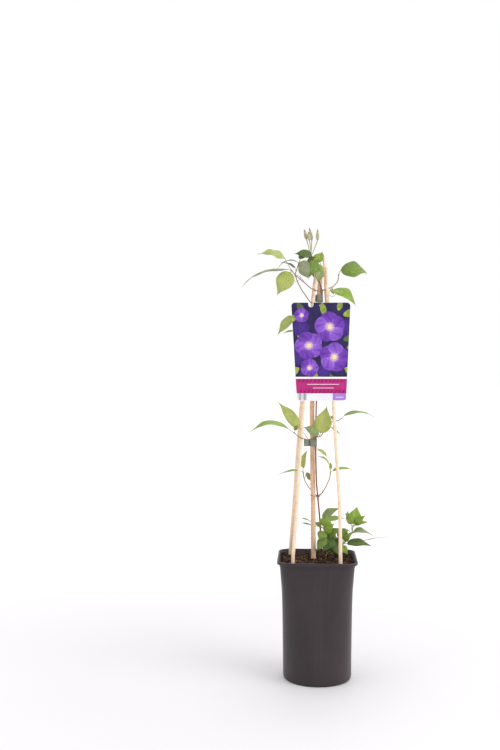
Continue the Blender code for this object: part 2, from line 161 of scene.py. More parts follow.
def cane_material(name, pale, mid, dark, mottled):
    made = Finish(name, 0.48)
    fibre = made.noise(made.mapped("UV", (26, 1.2, 1)), 1.0, 5, 0.65)
    patch = made.noise(made.mapped("UV", (2, 9, 1)), 1.0, 4, 0.6, 0.4)
    speck = made.noise(made.mapped("UV", (14, 160, 1)), 1.0, 3, 0.7)
    wide = made.noise(made.mapped("UV"), 3.0, 2)
    colour = made.ramp(fibre, (0.32, mid), (0.62, pale))
    colour = made.mix(made.mask(patch, 0.45, 0.75, 0.75), colour, dark)
    colour = made.mix(made.mask(speck, 0.5, 0.72, mottled), colour, shade(dark, 0.55))
    made.paint(made.mix(made.mask(wide, 0.4, 0.7, 0.3), colour, pale))
    made.feed("Roughness", made.maths("MULTIPLY_ADD", fibre, 0.25, 0.35))
    made.bump(made.plus(fibre, made.times(speck, 0.4 + mottled)), 0.0004, 0.6)
    return made.mat


def plain(name, colour, roughness=0.5, specular=0.4, vary=0.15, scale=300.0, depth=0.0002):
    """One finish with mottling and a fine grain."""
    made = Finish(name, roughness, specular)
    place = made.mapped("Object")
    high = tuple(min(1.0, part * (1 + vary)) for part in colour)
    made.paint(made.ramp(made.noise(place, scale, 4, 0.6), (0.3, shade(colour, 1 - vary)), (0.7, high)))
    made.bump(made.noise(place, scale * 3, 2), depth, 0.6)
    return made.mat


def stem_material(name, first, second, scale):
    made = Finish(name, 0.5, 0.35)
    fibre = made.noise(made.mapped("UV", (12, 2, 1)), 1.0, 4, 0.6)
    patch = made.noise(made.mapped("UV", (2, scale, 1)), 1.0, 3, 0.6)
    colour = made.ramp(patch, (0.35, first), (0.68, second))
    made.paint(made.mix(made.mask(fibre, 0.4, 0.8, 0.5), colour, shade(first, 0.6)))
    made.bump(fibre, 0.0002, 0.7)
    return made.mat


# Each vein's distance from the midrib and half-width, in shares of the blade's width
VEIN_LINES = ((0.0, 0.028), (0.2, 0.017), (0.36, 0.013))
TIP_TINT = (0.45, 0.42, 0.12)


def leaf_material(name, dark, light, vein, roughness, under=False):
    """UV: u runs from stalk to tip, v across; veins are lines of constant v that fan out from the stalk."""
    made = Finish(name, roughness, 0.35)
    u, v = made.split_uv()
    place = made.mapped("Object")
    wobble = made.maths("MULTIPLY_ADD", made.noise(place, 160, 2), 0.10, -0.05)
    across = made.maths("ABSOLUTE", made.minus(made.plus(v, wobble), 0.5))
    ridge = None
    for at, half in VEIN_LINES:
        line = made.line(made.maths("ABSOLUTE", made.minus(across, at)), half)
        ridge = line if ridge is None else made.maths("MAXIMUM", ridge, made.times(line, 0.7))
    cells = made.node("TexVoronoi", feature="DISTANCE_TO_EDGE", Scale=9.0,
                      Vector=made.mapped("UV", (1.6, 1, 1)))
    net = made.minus(1.0, made.maths("MINIMUM", made.times(cells.outputs[0], 9.0), 1.0))
    fine = made.noise(place, 700, 3, 0.6)
    colour = made.ramp(made.noise(place, 70, 4, 0.6), (0.3, dark), (0.68, light))
    edge = made.times(made.maths("POWER", made.times(across, 2.0), 3.0), 0.35)
    colour = made.mix(edge, colour, shade(dark, 0.75))
    colour = made.mix(made.mask(fine, 0.45, 0.8, 0.25), colour, light)
    colour = made.mix(made.times(net, 0.18), colour, vein)
    colour = made.mix(made.times(ridge, 0.75 if under else 0.6), colour, vein)
    tip = made.times(made.maths("POWER", u, 6.0), 0.5)
    made.paint(made.mix(tip, colour, tuple(0.5 * (a + b) for a, b in zip(light, TIP_TINT))))
    relief = made.times(made.plus(ridge, made.times(net, 0.35)), 1.0 if under else -1.0)
    made.bump(made.plus(relief, made.times(fine, 0.25)), 0.0007, 0.8)
    return made.mat


POT = pot_material()
CANE = cane_material("bamboo", (0.97, 0.78, 0.60), (0.86, 0.60, 0.42), (0.68, 0.42, 0.24), 0.22)
CANE_ROUGH = cane_material("bamboo_rough", (0.88, 0.62, 0.42), (0.70, 0.44, 0.26), (0.48, 0.27, 0.12), 0.75)
CANE_END = plain("bamboo_end", (0.62, 0.44, 0.26), 0.8, 0.2, 0.3, 900)
STEM_RED = stem_material("stem_red", (0.20, 0.045, 0.03), (0.36, 0.11, 0.07), 30)
STALK = stem_material("stalk_brown", (0.26, 0.11, 0.07), (0.34, 0.25, 0.13), 25)
STALK_GREEN = stem_material("stalk_green", (0.36, 0.40, 0.16), (0.46, 0.36, 0.20), 25)
TIE = plain("tape", (0.22, 0.25, 0.20), 0.42, 0.5, 0.2, 220)
BUD = stem_material("bud_body", (0.40, 0.40, 0.22), (0.55, 0.50, 0.32), 60)
BUD_TIP = stem_material("bud_tip", (0.20, 0.12, 0.10), (0.36, 0.26, 0.18), 60)
# Leaf finishes: dark and light tone and veins of the upper side, then the two tones of the underside
TONES = {
    "lime": ((0.33, 0.42, 0.07), (0.50, 0.55, 0.16), (0.52, 0.56, 0.24),
             (0.40, 0.46, 0.15), (0.52, 0.56, 0.25)),
    "fresh": ((0.19, 0.33, 0.03), (0.33, 0.49, 0.07), (0.34, 0.45, 0.14),
             (0.30, 0.38, 0.13), (0.42, 0.50, 0.20)),
    "mid": ((0.12, 0.21, 0.025), (0.23, 0.35, 0.06), (0.27, 0.34, 0.13),
             (0.25, 0.31, 0.13), (0.35, 0.40, 0.20)),
    "dark": ((0.055, 0.10, 0.018), (0.12, 0.19, 0.04), (0.16, 0.21, 0.09),
             (0.19, 0.24, 0.10), (0.28, 0.33, 0.16)),
    # grey-green tone: painted sheen, the glint of light on glossy leaves put into their colour, upper side and
    # underside
    "frost": ((0.18, 0.26, 0.075), (0.32, 0.40, 0.16), (0.36, 0.42, 0.25),
             (0.28, 0.33, 0.17), (0.40, 0.44, 0.28)),
}
UNDER_VEIN = (0.46, 0.48, 0.27)
LEAF = {}
for tone, (dark, light, vein, low_dark, low_light) in TONES.items():
    LEAF[tone] = (leaf_material("leaf_" + tone, dark, light, vein, 0.42),
                  leaf_material("leaf_under_" + tone, low_dark, low_light, UNDER_VEIN, 0.62, under=True))


# ---------------------------------------------------------------- mesh helpers
class Build:
    """Collects faces of one piece: points in millimetres, a material and UVs per face."""

    def __init__(self):
        self.points, self.faces, self.mats, self.uvs = [], [], [], []
        self.materials = []

    def slot(self, mat):
        if mat not in self.materials:
            self.materials.append(mat)
        return self.materials.index(mat)

    def face(self, corners, mat, uvs=None):
        corners = tuple(corners)
        self.faces.append(corners)
        self.mats.append(self.slot(mat))
        self.uvs.append(uvs or [(0.5, 0.5)] * len(corners))

    def rings(self, rings, mat, v_of=None):
        """Side faces between closed rings of equal count. Returns the first point's number."""
        first = len(self.points)
        count = len(rings[0])
        for ring in rings:
            self.points.extend(ring)
        for r in range(len(rings) - 1):
            v0, v1 = (v_of[k] if v_of else k / (len(rings) - 1) for k in (r, r + 1))
            for i in range(count):
                j = (i + 1) % count
                a, b = first + r * count, first + (r + 1) * count
                u0, u1 = i / count, (i + 1) / count
                self.face((a + i, a + j, b + j, b + i), mat, [(u0, v0), (u1, v0), (u1, v1), (u0, v1)])
        return first

    def cap(self, first, count, mat, flip=False):
        order = range(first, first + count)
        self.face(reversed(order) if flip else order, mat)

    def make(self, name, replaces=(), smooth=True):
        mesh = bpy.data.meshes.new(name)
        mesh.from_pydata([Vector(p) * MM for p in self.points], [], self.faces)
        layer = mesh.uv_layers.new(name="UVMap")
        loops = [uv for uvs in self.uvs for uv in uvs]
        for loop, uv in zip(layer.data, loops):
            loop.uv = uv
        for poly, index in zip(mesh.polygons, self.mats):
            poly.material_index = index
            poly.use_smooth = smooth
        for mat in self.materials:
            mesh.materials.append(mat)
        mesh.update()
        obj = bpy.data.objects.new(name, mesh)
        bpy.context.scene.collection.objects.link(obj)
        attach(obj, "root")
        if replaces:
            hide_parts(*replaces)
        return obj


def smooth_route(points, steps):
    """Catmull-Rom curve through the points."""
    pts = [Vector(p) for p in points]
    ends = [pts[0] * 2 - pts[1]] + pts + [pts[-1] * 2 - pts[-2]]
    route = []
    for a, b, c, d in zip(ends, ends[1:], ends[2:], ends[3:]):
        for k in range(steps):
            t = k / steps
            route.append(0.5 * (2 * b + (c - a) * t + (2 * a - 5 * b + 4 * c - d) * t * t
                                + (3 * b - 3 * c + d - a) * t ** 3))
    return route + [pts[-1]]


def frames(path, start, normal):
    """Tangent, normal and side at every point, twist-free; the normal is given at point start."""
    last = len(path) - 1
    tangents = [(path[min(i + 1, last)] - path[max(i - 1, 0)]).normalized() for i in range(last + 1)]
    normals = [None] * (last + 1)
    normals[start] = (normal - tangents[start] * normal.dot(tangents[start])).normalized()
    for order, step in ((range(start + 1, last + 1), -1), (range(start - 1, -1, -1), 1)):
        for i in order:
            normals[i] = tangents[i + step].rotation_difference(tangents[i]) @ normals[i + step]
    return [(t, n, t.cross(n)) for t, n in zip(tangents, normals)]


def ring_at(p, n, s, radius, sides, shape=None):
    ring = []
    for i in range(sides):
        angle = 2 * math.pi * i / sides
        r = radius * (shape(angle) if shape else 1.0)
        ring.append(p + n * (r * math.cos(angle)) + s * (r * math.sin(angle)))
    return ring


def tube(build, route, radii, sides, mat, shape=None, caps=True):
    across = Vector((1, 0, 0)) if abs((route[1] - route[0]).normalized().x) < 0.8 else Vector((0, 0, 1))
    length, v_of = 0.0, [0.0]
    for a, b in zip(route, route[1:]):
        length += (b - a).length * 0.02
        v_of.append(length)
    rings = [ring_at(p, n, s, r, sides, shape)
             for p, r, (_, n, s) in zip(route, radii, frames(route, 0, across))]
    first = build.rings(rings, mat, v_of=v_of)
    if caps:
        build.cap(first, sides, mat, flip=True)
        build.cap(first + (len(rings) - 1) * sides, sides, mat)


def taper(count, first, last):
    return [first + (last - first) * i / (count - 1) for i in range(count)]


# ---------------------------------------------------------------- pot
# height, half side, corner radius
POT_OUTSIDE = [
    (0.0, 55.2, 55.2), (0.3, 56.1, 56.1), (1.0, 57.0, 57.0), (2.0, 57.7, 57.7), (3.0, 58.1, 58.1),
    (6.0, 58.6, 58.6), (30, 58.7, 55.0), (60.0, 58.8, 50.0), (90, 59.0, 45.2), (120.0, 59.3, 40.0),
    (135, 59.5, 36.6), (150.0, 59.8, 33.0), (162, 60.3, 29.7), (175.0, 61.2, 26.0), (186, 61.9, 23.3),
    (198.0, 62.7, 20.5), (198.4, 63.2, 20.5), (199.0, 63.3, 20.5), (202.0, 63.6, 20.5), (202.4, 63.8, 20.6),
    (202.6, 64.6, 21.0), (202.75, 66.6, 21.8), (203.1, 67.2, 22.0), (204, 67.4, 22.0), (206.6, 67.6, 22.0),
    (207.4, 67.5, 22.0), (207.85, 67.2, 21.8), (208.0, 66.7, 21.5)]
POT_INSIDE = [(208.0, 65.6, 20.6), (207.8, 65.1, 20.2), (207.2, 64.8, 20.0), (202.4, 62.1, 19.0),
              (199.5, 61.7, 19.0), (190, 60.9, 20.8), (175, 59.7, 24.5), (120, 57.8, 38.5), (60, 57.3, 48.5),
              (7, 57.1, 57.1), (3.5, 56.2, 56.2), (2.5, 54.8, 54.8)]
POT_SIDES = 240
DRAINS, DRAIN_RING, DRAIN_RADIUS, DRAIN_SIDES = 8, 40, 4, 32
SHARP_ANGLE = math.radians(40)


def square_reach(angle, half, corner):
    dx, dy = abs(math.cos(angle)), abs(math.sin(angle))
    core = half - corner
    flat = half / max(dx, dy)
    if min(dx, dy) * flat <= core:
        return flat
    along = (dx + dy) * core
    return along + math.sqrt(max(along * along - 2 * core * core + corner * corner, 0.0))


def square_ring(z, half, corner, sides=POT_SIDES):
    ring = []
    for i in range(sides):
        angle = 2 * math.pi * i / sides
        reach = square_reach(angle, half, corner)
        ring.append(Vector((reach * math.cos(angle), reach * math.sin(angle), z)))
    return ring


def build_pot():
    build = Build()
    rings = [square_ring(*row) for row in POT_OUTSIDE + POT_INSIDE]
    build.rings(rings, POT)
    build.cap(0, POT_SIDES, POT, flip=True)
    build.cap(len(build.points) - POT_SIDES, POT_SIDES, POT)
    pot = build.make("nursery_pot", ["pot"])
    tool = Build()
    for k in range(DRAINS):
        angle = 2 * math.pi * (k + 0.5) / DRAINS
        rings = []
        for z in (-2.0, 4.5):
            centre = Vector((DRAIN_RING * math.cos(angle), DRAIN_RING * math.sin(angle), z))
            rings.append(ring_at(centre, Vector((1, 0, 0)), Vector((0, 1, 0)), DRAIN_RADIUS, DRAIN_SIDES))
        tool.cap(tool.rings(rings, POT), DRAIN_SIDES, POT, flip=True)
        tool.cap(len(tool.points) - DRAIN_SIDES, DRAIN_SIDES, POT)
    mesh = bpy.data.meshes.new("drain_tool")
    mesh.from_pydata([Vector(p) * MM for p in tool.points], [], tool.faces)
    cutter = bpy.data.objects.new("drain_tool", mesh)
    bpy.context.scene.collection.objects.link(cutter)
    modifier = pot.modifiers.new("drain", "BOOLEAN")
    modifier.solver = "EXACT"
    modifier.object = cutter
    bpy.context.view_layer.update()
    depsgraph = bpy.context.evaluated_depsgraph_get()
    finished = bpy.data.meshes.new_from_object(pot.evaluated_get(depsgraph))
    pot.modifiers.clear()
    pot.data = finished
    bpy.data.objects.remove(cutter, do_unlink=True)
    for poly in finished.polygons:
        poly.use_smooth = True
    finished.set_sharp_from_angle(angle=SHARP_ANGLE)


build_pot()


# ---------------------------------------------------------------- soil
SOIL_TOP = 201.0
SOIL = [plain("peat_dark", (0.030, 0.017, 0.011), 0.95, 0.15, 0.5, 240, 0.0012),
        plain("peat_brown", (0.075, 0.042, 0.024), 0.9, 0.2, 0.4, 500, 0.0006),
        plain("peat_bark", (0.17, 0.088, 0.045), 0.85, 0.2, 0.35, 500, 0.0006),
        plain("peat_fibre", (0.26, 0.16, 0.085), 0.85, 0.2, 0.3, 500, 0.0004)]
SPOKES, STEPS, CRUMBS, LUMP_SIDES = 150, 46, 1250, 7


def soil_height(x, y):
    p = Vector((x, y, 0))
    h = 2.2 * noise.noise(p * 0.045) + 1.3 * noise.noise(p * 0.13 + Vector((7, 3, 1)))
    h += 0.9 * noise.noise(p * 0.34 + Vector((1, 9, 4)))
    return SOIL_TOP + h


def build_soil():
    build = Build()
    rings = [square_ring(z, half - 0.25, corner - 0.25, SPOKES) for z, half, corner in reversed(POT_INSIDE)
             if 2.6 < z < 199]
    for k in range(STEPS):
        share = 1 - k / STEPS
        ring = []
        for p in square_ring(0, 61.5 * share, 18.8 * share, SPOKES):
            z = soil_height(p.x, p.y) - 1.6 * max(0.0, share - 0.94) / 0.06
            ring.append(Vector((p.x, p.y, z)))
        rings.append(ring)
    build.cap(build.rings(rings, SOIL[0]), SPOKES, SOIL[0], flip=True)
    centre = len(build.points)
    build.points.append(Vector((0, 0, soil_height(0, 0))))
    last = centre - SPOKES
    for i in range(SPOKES):
        build.face((last + i, last + (i + 1) % SPOKES, centre), SOIL[0])
    rng = random.Random(7)
    # crumbs, bark chips and fibres, each a small rough lump half sunk in the peat
    for _ in range(CRUMBS):
        x, y = rng.uniform(-60, 60), rng.uniform(-60, 60)
        angle = math.atan2(y, x)
        if math.hypot(x, y) > square_reach(angle, 60.4, 18.5):
            continue
        roll = rng.random()
        if roll < 0.62:
            size = (rng.uniform(0.7, 2.3),) * 3
            mat = SOIL[rng.choice((0, 0, 1))]
        elif roll < 0.9:
            size = (rng.uniform(1.6, 4.6), rng.uniform(0.8, 2.0), rng.uniform(0.5, 1.1))
            mat = SOIL[rng.choice((1, 2, 2))]
        else:
            size = (rng.uniform(3, 7), 0.35, 0.35)
            mat = SOIL[3]
        lump(build, rng, Vector((x, y, soil_height(x, y) + 0.25 * size[2])), size, mat)
    build.make("soil", ["potting_soil"])


def lump(build, rng, centre, size, mat):
    """Small rough stone-like body of four rings."""
    turn, tilt = rng.uniform(0, math.pi), rng.uniform(-0.4, 0.4)
    seed = Vector((rng.uniform(0, 90), rng.uniform(0, 90), rng.uniform(0, 90)))
    rings = []
    for level in (-0.75, -0.25, 0.3, 0.78):
        ring = []
        for i in range(LUMP_SIDES):
            angle = 2 * math.pi * i / LUMP_SIDES
            flat = math.sqrt(1 - level * level)
            p = Vector((flat * math.cos(angle), flat * math.sin(angle), level))
            p *= 1 + 0.45 * noise.noise(p * 1.7 + seed)
            p = Vector((p.x * size[0], p.y * size[1], p.z * size[2]))
            p = Vector((p.x * math.cos(tilt) - p.z * math.sin(tilt), p.y,
                        p.x * math.sin(tilt) + p.z * math.cos(tilt)))
            ring.append(centre + Vector((p.x * math.cos(turn) - p.y * math.sin(turn),
                                         p.x * math.sin(turn) + p.y * math.cos(turn), p.z)))
        rings.append(ring)
    build.cap(build.rings(rings, mat), LUMP_SIDES, mat, flip=True)
    build.cap(len(build.points) - LUMP_SIDES, LUMP_SIDES, mat)


build_soil()

# ---------------------------------------------------------------- canes
# top radius, bottom radius, heights of the nodes (rings), axis points
CANES = {
    "cane_front_left": (2.25, 3.15, (258, 402, 560, 668), [(-41.5, -48, 150), (-41, -49, 205), (-34, -42, 310),
        (-22, -28, 476), (-5, -11, 657), (1, -8, 710)]),
    "cane_back_left": (2.3, 3.0, (300, 455, 600), [(-44.5, 42, 150), (-47, 42, 201), (-40, 35, 300),
        (-27, 22, 475), (-8, 9, 650), (-1, 6, 705)]),
    "cane_front_right": (2.4, 3.25, (280, 440, 590, 694), [(40, -45.5, 150), (39, -44, 204), (37, -37, 310),
        (27, -25, 476), (18, -10, 648), (16, -7, 705)]),
    "cane_back_right": (2.2, 2.75, (240, 372, 520, 662), [(42, 47, 150), (42, 48, 201), (39, 39, 300),
        (29, 26, 475), (17, 10, 633), (14, 7, 684), (12, 5, 724)]),
    "cane_centre": (3.9, 4.25, (236, 352, 470, 590), [(-6, 12, 150), (-6, 12, 201), (-7, 9, 303), (-8, 5, 475),
        (-2.5, 2, 572), (4, -1, 663), (6, -2, 708)]),
}


CANE_SIDES, CANE_STEPS = 28, 26
PITH, PITH_DEEP = 0.42, 5                  # share of the cane's radius, depth


def build_cane(name, top_radius, low_radius, nodes, axis):
    build = Build()
    line = smooth_route(axis, CANE_STEPS)
    seed = sum(map(ord, name))
    route, radii = [], []
    for i, p in enumerate(line):
        radius = low_radius + (top_radius - low_radius) * i / (len(line) - 1)
        lift = sum(math.exp(-((p.z - z) / 2.2) ** 2) for z in nodes)
        waist = sum(math.exp(-((p.z - z - 5.5) / 3.5) ** 2) for z in nodes)
        radius *= 1 + 0.11 * lift - 0.035 * waist + 0.025 * noise.noise(Vector((p.z * 0.03, seed, 0)))
        sway = Vector([noise.noise(Vector((p.z * 0.012, seed, lane))) for lane in (5, 9)] + [0])
        free = min(1.0, max(0.0, (p.z - 205) / 60)) * min(1.0, max(0.0, (700 - p.z) / 60))
        route.append(p + sway * 0.7 * free)
        radii.append(radius)
    grain = random.Random(seed)
    ridges = [(grain.uniform(0.006, 0.02), grain.randint(3, 11), grain.uniform(0, 6.3)) for _ in range(3)]
    shape = (lambda a: 1 + sum(h * math.sin(k * a + f) for h, k, f in ridges))
    tube(build, route, radii, CANE_SIDES, CANE_ROUGH if name == "cane_centre" else CANE, shape, caps=False)
    build.cap(0, CANE_SIDES, CANE_END, flip=True)
    # cut top with a hollow pith
    top, up = route[-1], (route[-1] - route[-2]).normalized()
    outer = build.points[-CANE_SIDES:]
    inner = [top + (p - top) * PITH for p in outer]
    build.rings([outer, inner, [p - up * PITH_DEEP for p in inner]], CANE_END)
    build.cap(len(build.points) - CANE_SIDES, CANE_SIDES, CANE_END)
    build.make("bamboo_" + name, [name])


for name, row in CANES.items():
    build_cane(name, *row)

# ---------------------------------------------------------------- stems and stalks
STEMS = {
    "main_stem": (1.5, 0.8, [(10, 38, 185), (10, 37, 201), (8, 33, 219), (5, 20, 269), (2, 10, 302),
        (-1, 3, 339), (-2.2, 1.9, 403), (-1, 0.3, 475), (3, -1.8, 560), (5.6, -3.2, 600), (7.8, -3.8, 640),
        (8.5, -5.2, 663), (4, -9.4, 680), (-1.5, -13.6, 695), (-5.5, -12, 712), (-10, -7, 727)]),
    "side_shoot_right": (1.1, 0.8, [(17, 31, 190), (16, 30, 203), (23, 27, 212), (37, 28, 217), (51, 31, 229),
        (61, 33.5, 242), (63, 34, 254)]),
    "side_shoot_left": (1.0, 0.8, [(9.4, 28.2, 228), (13, 22, 236), (13.4, 18, 246), (11, 16, 254)]),
}
STALK_RADII = (0.9, 0.75)
STALKS = {
    "top_left": [(7.3, -7.2, 664), (1, -11.5, 664), (-5, -15.2, 665.5), (-12, -17, 669),
        (-21, -19, 677), (-36, -24, 689), (-44, -27, 698)],
    "top_inner": [(6.4, -5.2, 640), (1, -7, 641), (-5, -5.5, 642), (-11, -4, 645),
        (-17, -5, 653), (-29, -6, 671), (-37, -8, 691), (-35, -10, 700), (-31, -12, 712)],
    "top_right": [(9.6, -4.7, 665.5), (17, -1, 668), (28, 4, 673), (36, 7, 683),
        (37.5, 10, 694)],
    "behind_label": [(3.1, -3.9, 585), (-3, -6.5, 588), (-12, -3, 598), (-25, 0, 609),
        (-36, 1, 618)],
    "middle_left": [(-3.4, -0.2, 413), (-8, -5, 411), (-15, -18, 410), (-21, -33, 412),
        (-27, -37.8, 414), (-33, -40, 417.5), (-39, -42, 423)],
    "middle_right": [(-0.9, 0.2, 414), (5, -5, 414), (12, -11, 423), (24, -13, 439),
        (36, -10, 442), (42, -9, 446)],
    "lower_left": [(0.7, 10.4, 309), (-3, 16, 312), (-10, 16.5, 319), (-17, 14, 329),
        (-22, 11, 339), (-24, 9, 352)],
    "lower_right": [(3.4, 7.4, 310), (8, 5.5, 315), (12, 3, 321), (21, -3, 341),
        (23, -5, 353)],
}
# Height and size of the swellings where leaf stalks leave the main stem
STEM_KNOTS = [(228, 1.5), (258, 1.6), (309, 1.7), (392, 1.5), (413, 1.7), (585, 1.4), (640, 1.5), (664, 1.8),
              (695, 1.4), (714, 1.4), (722, 1.4)]


def build_stem(name, first_radius, last_radius, axis):
    build = Build()
    start = [Vector(p) for p in axis]
    if name.startswith("stalk") or name == "side_shoot_left":
        start[0] = start[0] - (start[1] - start[0]).normalized() * 1.3      # runs into the stem
    line = smooth_route(start, 8)
    radii = taper(len(line), first_radius, last_radius)
    if name == "main_stem":
        for i, p in enumerate(line):
            radii[i] *= 1 + sum((size - 1) * math.exp(-((p.z - z) / 2.4) ** 2) for z, size in STEM_KNOTS)
    elif name != "side_shoot_right":
        for i in range(len(line)):
            radii[i] *= 1 + 0.5 * math.exp(-(i / 2.5) ** 2) + 0.55 * math.exp(-((len(line) - 1 - i) / 2.2) ** 2)
    else:
        for i, p in enumerate(line):
            radii[i] *= 1 + sum(0.5 * math.exp(-((p.z - z) / 1.8) ** 2) for z in (224, 229, 241, 254))
    shape = (lambda a: 1 + 0.07 * math.sin(6 * a)) if name == "main_stem" else None
    mat = STEM_RED if name == "main_stem" else STALK_GREEN if name.startswith("side") else STALK
    tube(build, line, radii, 14, mat, shape=shape)
    build.make("plant_" + name, [name])


for name, row in STEMS.items():
    build_stem(name, *row)
for name, axis in STALKS.items():
    build_stem("stalk_" + name, *STALK_RADII, axis)


# ---------------------------------------------------------------- leaves
WIDEST, TAPER_POWER = 0.36, 0.85           # where along a leaf it is widest; how full it is beyond that
BLADE_ROWS, BLADE_HALF = 30, 9             # cells along a blade, and from its midrib to its edge
BLADE_THICK, BASE_HALF, TIP_HALF = 0.45, 0.5, 0.12
CURL_START = 0.62


def half_width(u):
    if u < WIDEST:
        return math.sqrt(max(0.0, 1 - ((WIDEST - u) / WIDEST) ** 2))
    return ((1 + math.cos(math.pi * (u - WIDEST) / (1 - WIDEST))) / 2) ** TAPER_POWER


def blade(build, stalk, tip, width, face, arch, fold, tone, curl=0.0, wave=0.02, stalk_radius=0.62):
    """A leaflet on its own stalk. Its blade is a thin closed sheet, waved at the edges, curled at the tip."""
    base, tip = Vector(stalk[-1]), Vector(tip)
    chord = tip - base
    rise = Vector(face)
    rise = (rise - chord * (rise.dot(chord) / chord.length_squared)).normalized()
    seed = (base.x * 13 + base.z * 7) % 40
    path = []
    for i in range(BLADE_ROWS + 1):
        u = i / BLADE_ROWS
        lift = arch * 4 * u * (1 - u) - curl * chord.length * max(0.0, u - CURL_START) ** 2 * 3.0
        path.append(base + chord * u + rise * lift)
    top, low = [], []
    for i, (p, (_, n, s)) in enumerate(zip(path, frames(path, 0, rise))):
        u = i / BLADE_ROWS
        w = half_width(u) * width / 2 if 0 < u < 1 else (BASE_HALF if u == 0 else TIP_HALF)
        w = max(w, TIP_HALF)
        for row, sign in ((top, 1), (low, -1)):
            line = []
            for j in range(-BLADE_HALF, BLADE_HALF + 1):
                v = j / BLADE_HALF
                edge = abs(v)
                ripple = wave * width * edge ** 2 * math.sin(2 * math.pi * (2.3 * u + 0.13 * v) + seed)
                dome = -0.10 * w * edge ** 3
                groove = -0.11 * math.exp(-(v / 0.08) ** 2) * min(1.0, w / 3) * sign
                quilt = 0.0072 * width * math.sin(7 * math.pi * (u - 0.35 * edge)) * math.sin(math.pi * edge)
                sheet = sign * BLADE_THICK / 2 * (1 - 0.8 * edge ** 6) * min(1.0, w / 1.5)
                line.append(p - s * (v * w) + n * (fold * edge * w + ripple + dome + quilt + groove + sheet))
            row.append(line)
    count = 2 * BLADE_HALF + 1
    upper, under = LEAF[tone]
    first = len(build.points)
    for row in top + low:
        build.points.extend(row)
    shift = (BLADE_ROWS + 1) * count
    for i in range(BLADE_ROWS):
        for j in range(count - 1):
            a = first + i * count + j
            uv = [((i + di) / BLADE_ROWS, (j + dj) / (count - 1))
                  for di, dj in ((0, 0), (0, 1), (1, 1), (1, 0))]
            build.face((a, a + 1, a + count + 1, a + count), upper, uv)
            build.face((a + shift, a + shift + count, a + shift + count + 1, a + shift + 1), under,
                       [uv[0], uv[3], uv[2], uv[1]])
        for a, flip in ((first + i * count, False), (first + i * count + count - 1, True)):
            corners = (a, a + count, a + count + shift, a + shift)
            build.face(reversed(corners) if flip else corners, upper)
    for a, flip in ((first, False), (first + BLADE_ROWS * count, True)):
        ring = list(range(a, a + count)) + list(range(a + shift + count - 1, a + shift - 1, -1))
        build.face(reversed(ring) if flip else ring, upper)
    inner = base + (path[1] - path[0]).normalized() * 1.5
    line = smooth_route(stalk[:-1] + [base, inner], 5)
    tube(build, line, taper(len(line), stalk_radius, stalk_radius * 0.8), 8, STALK_GREEN)


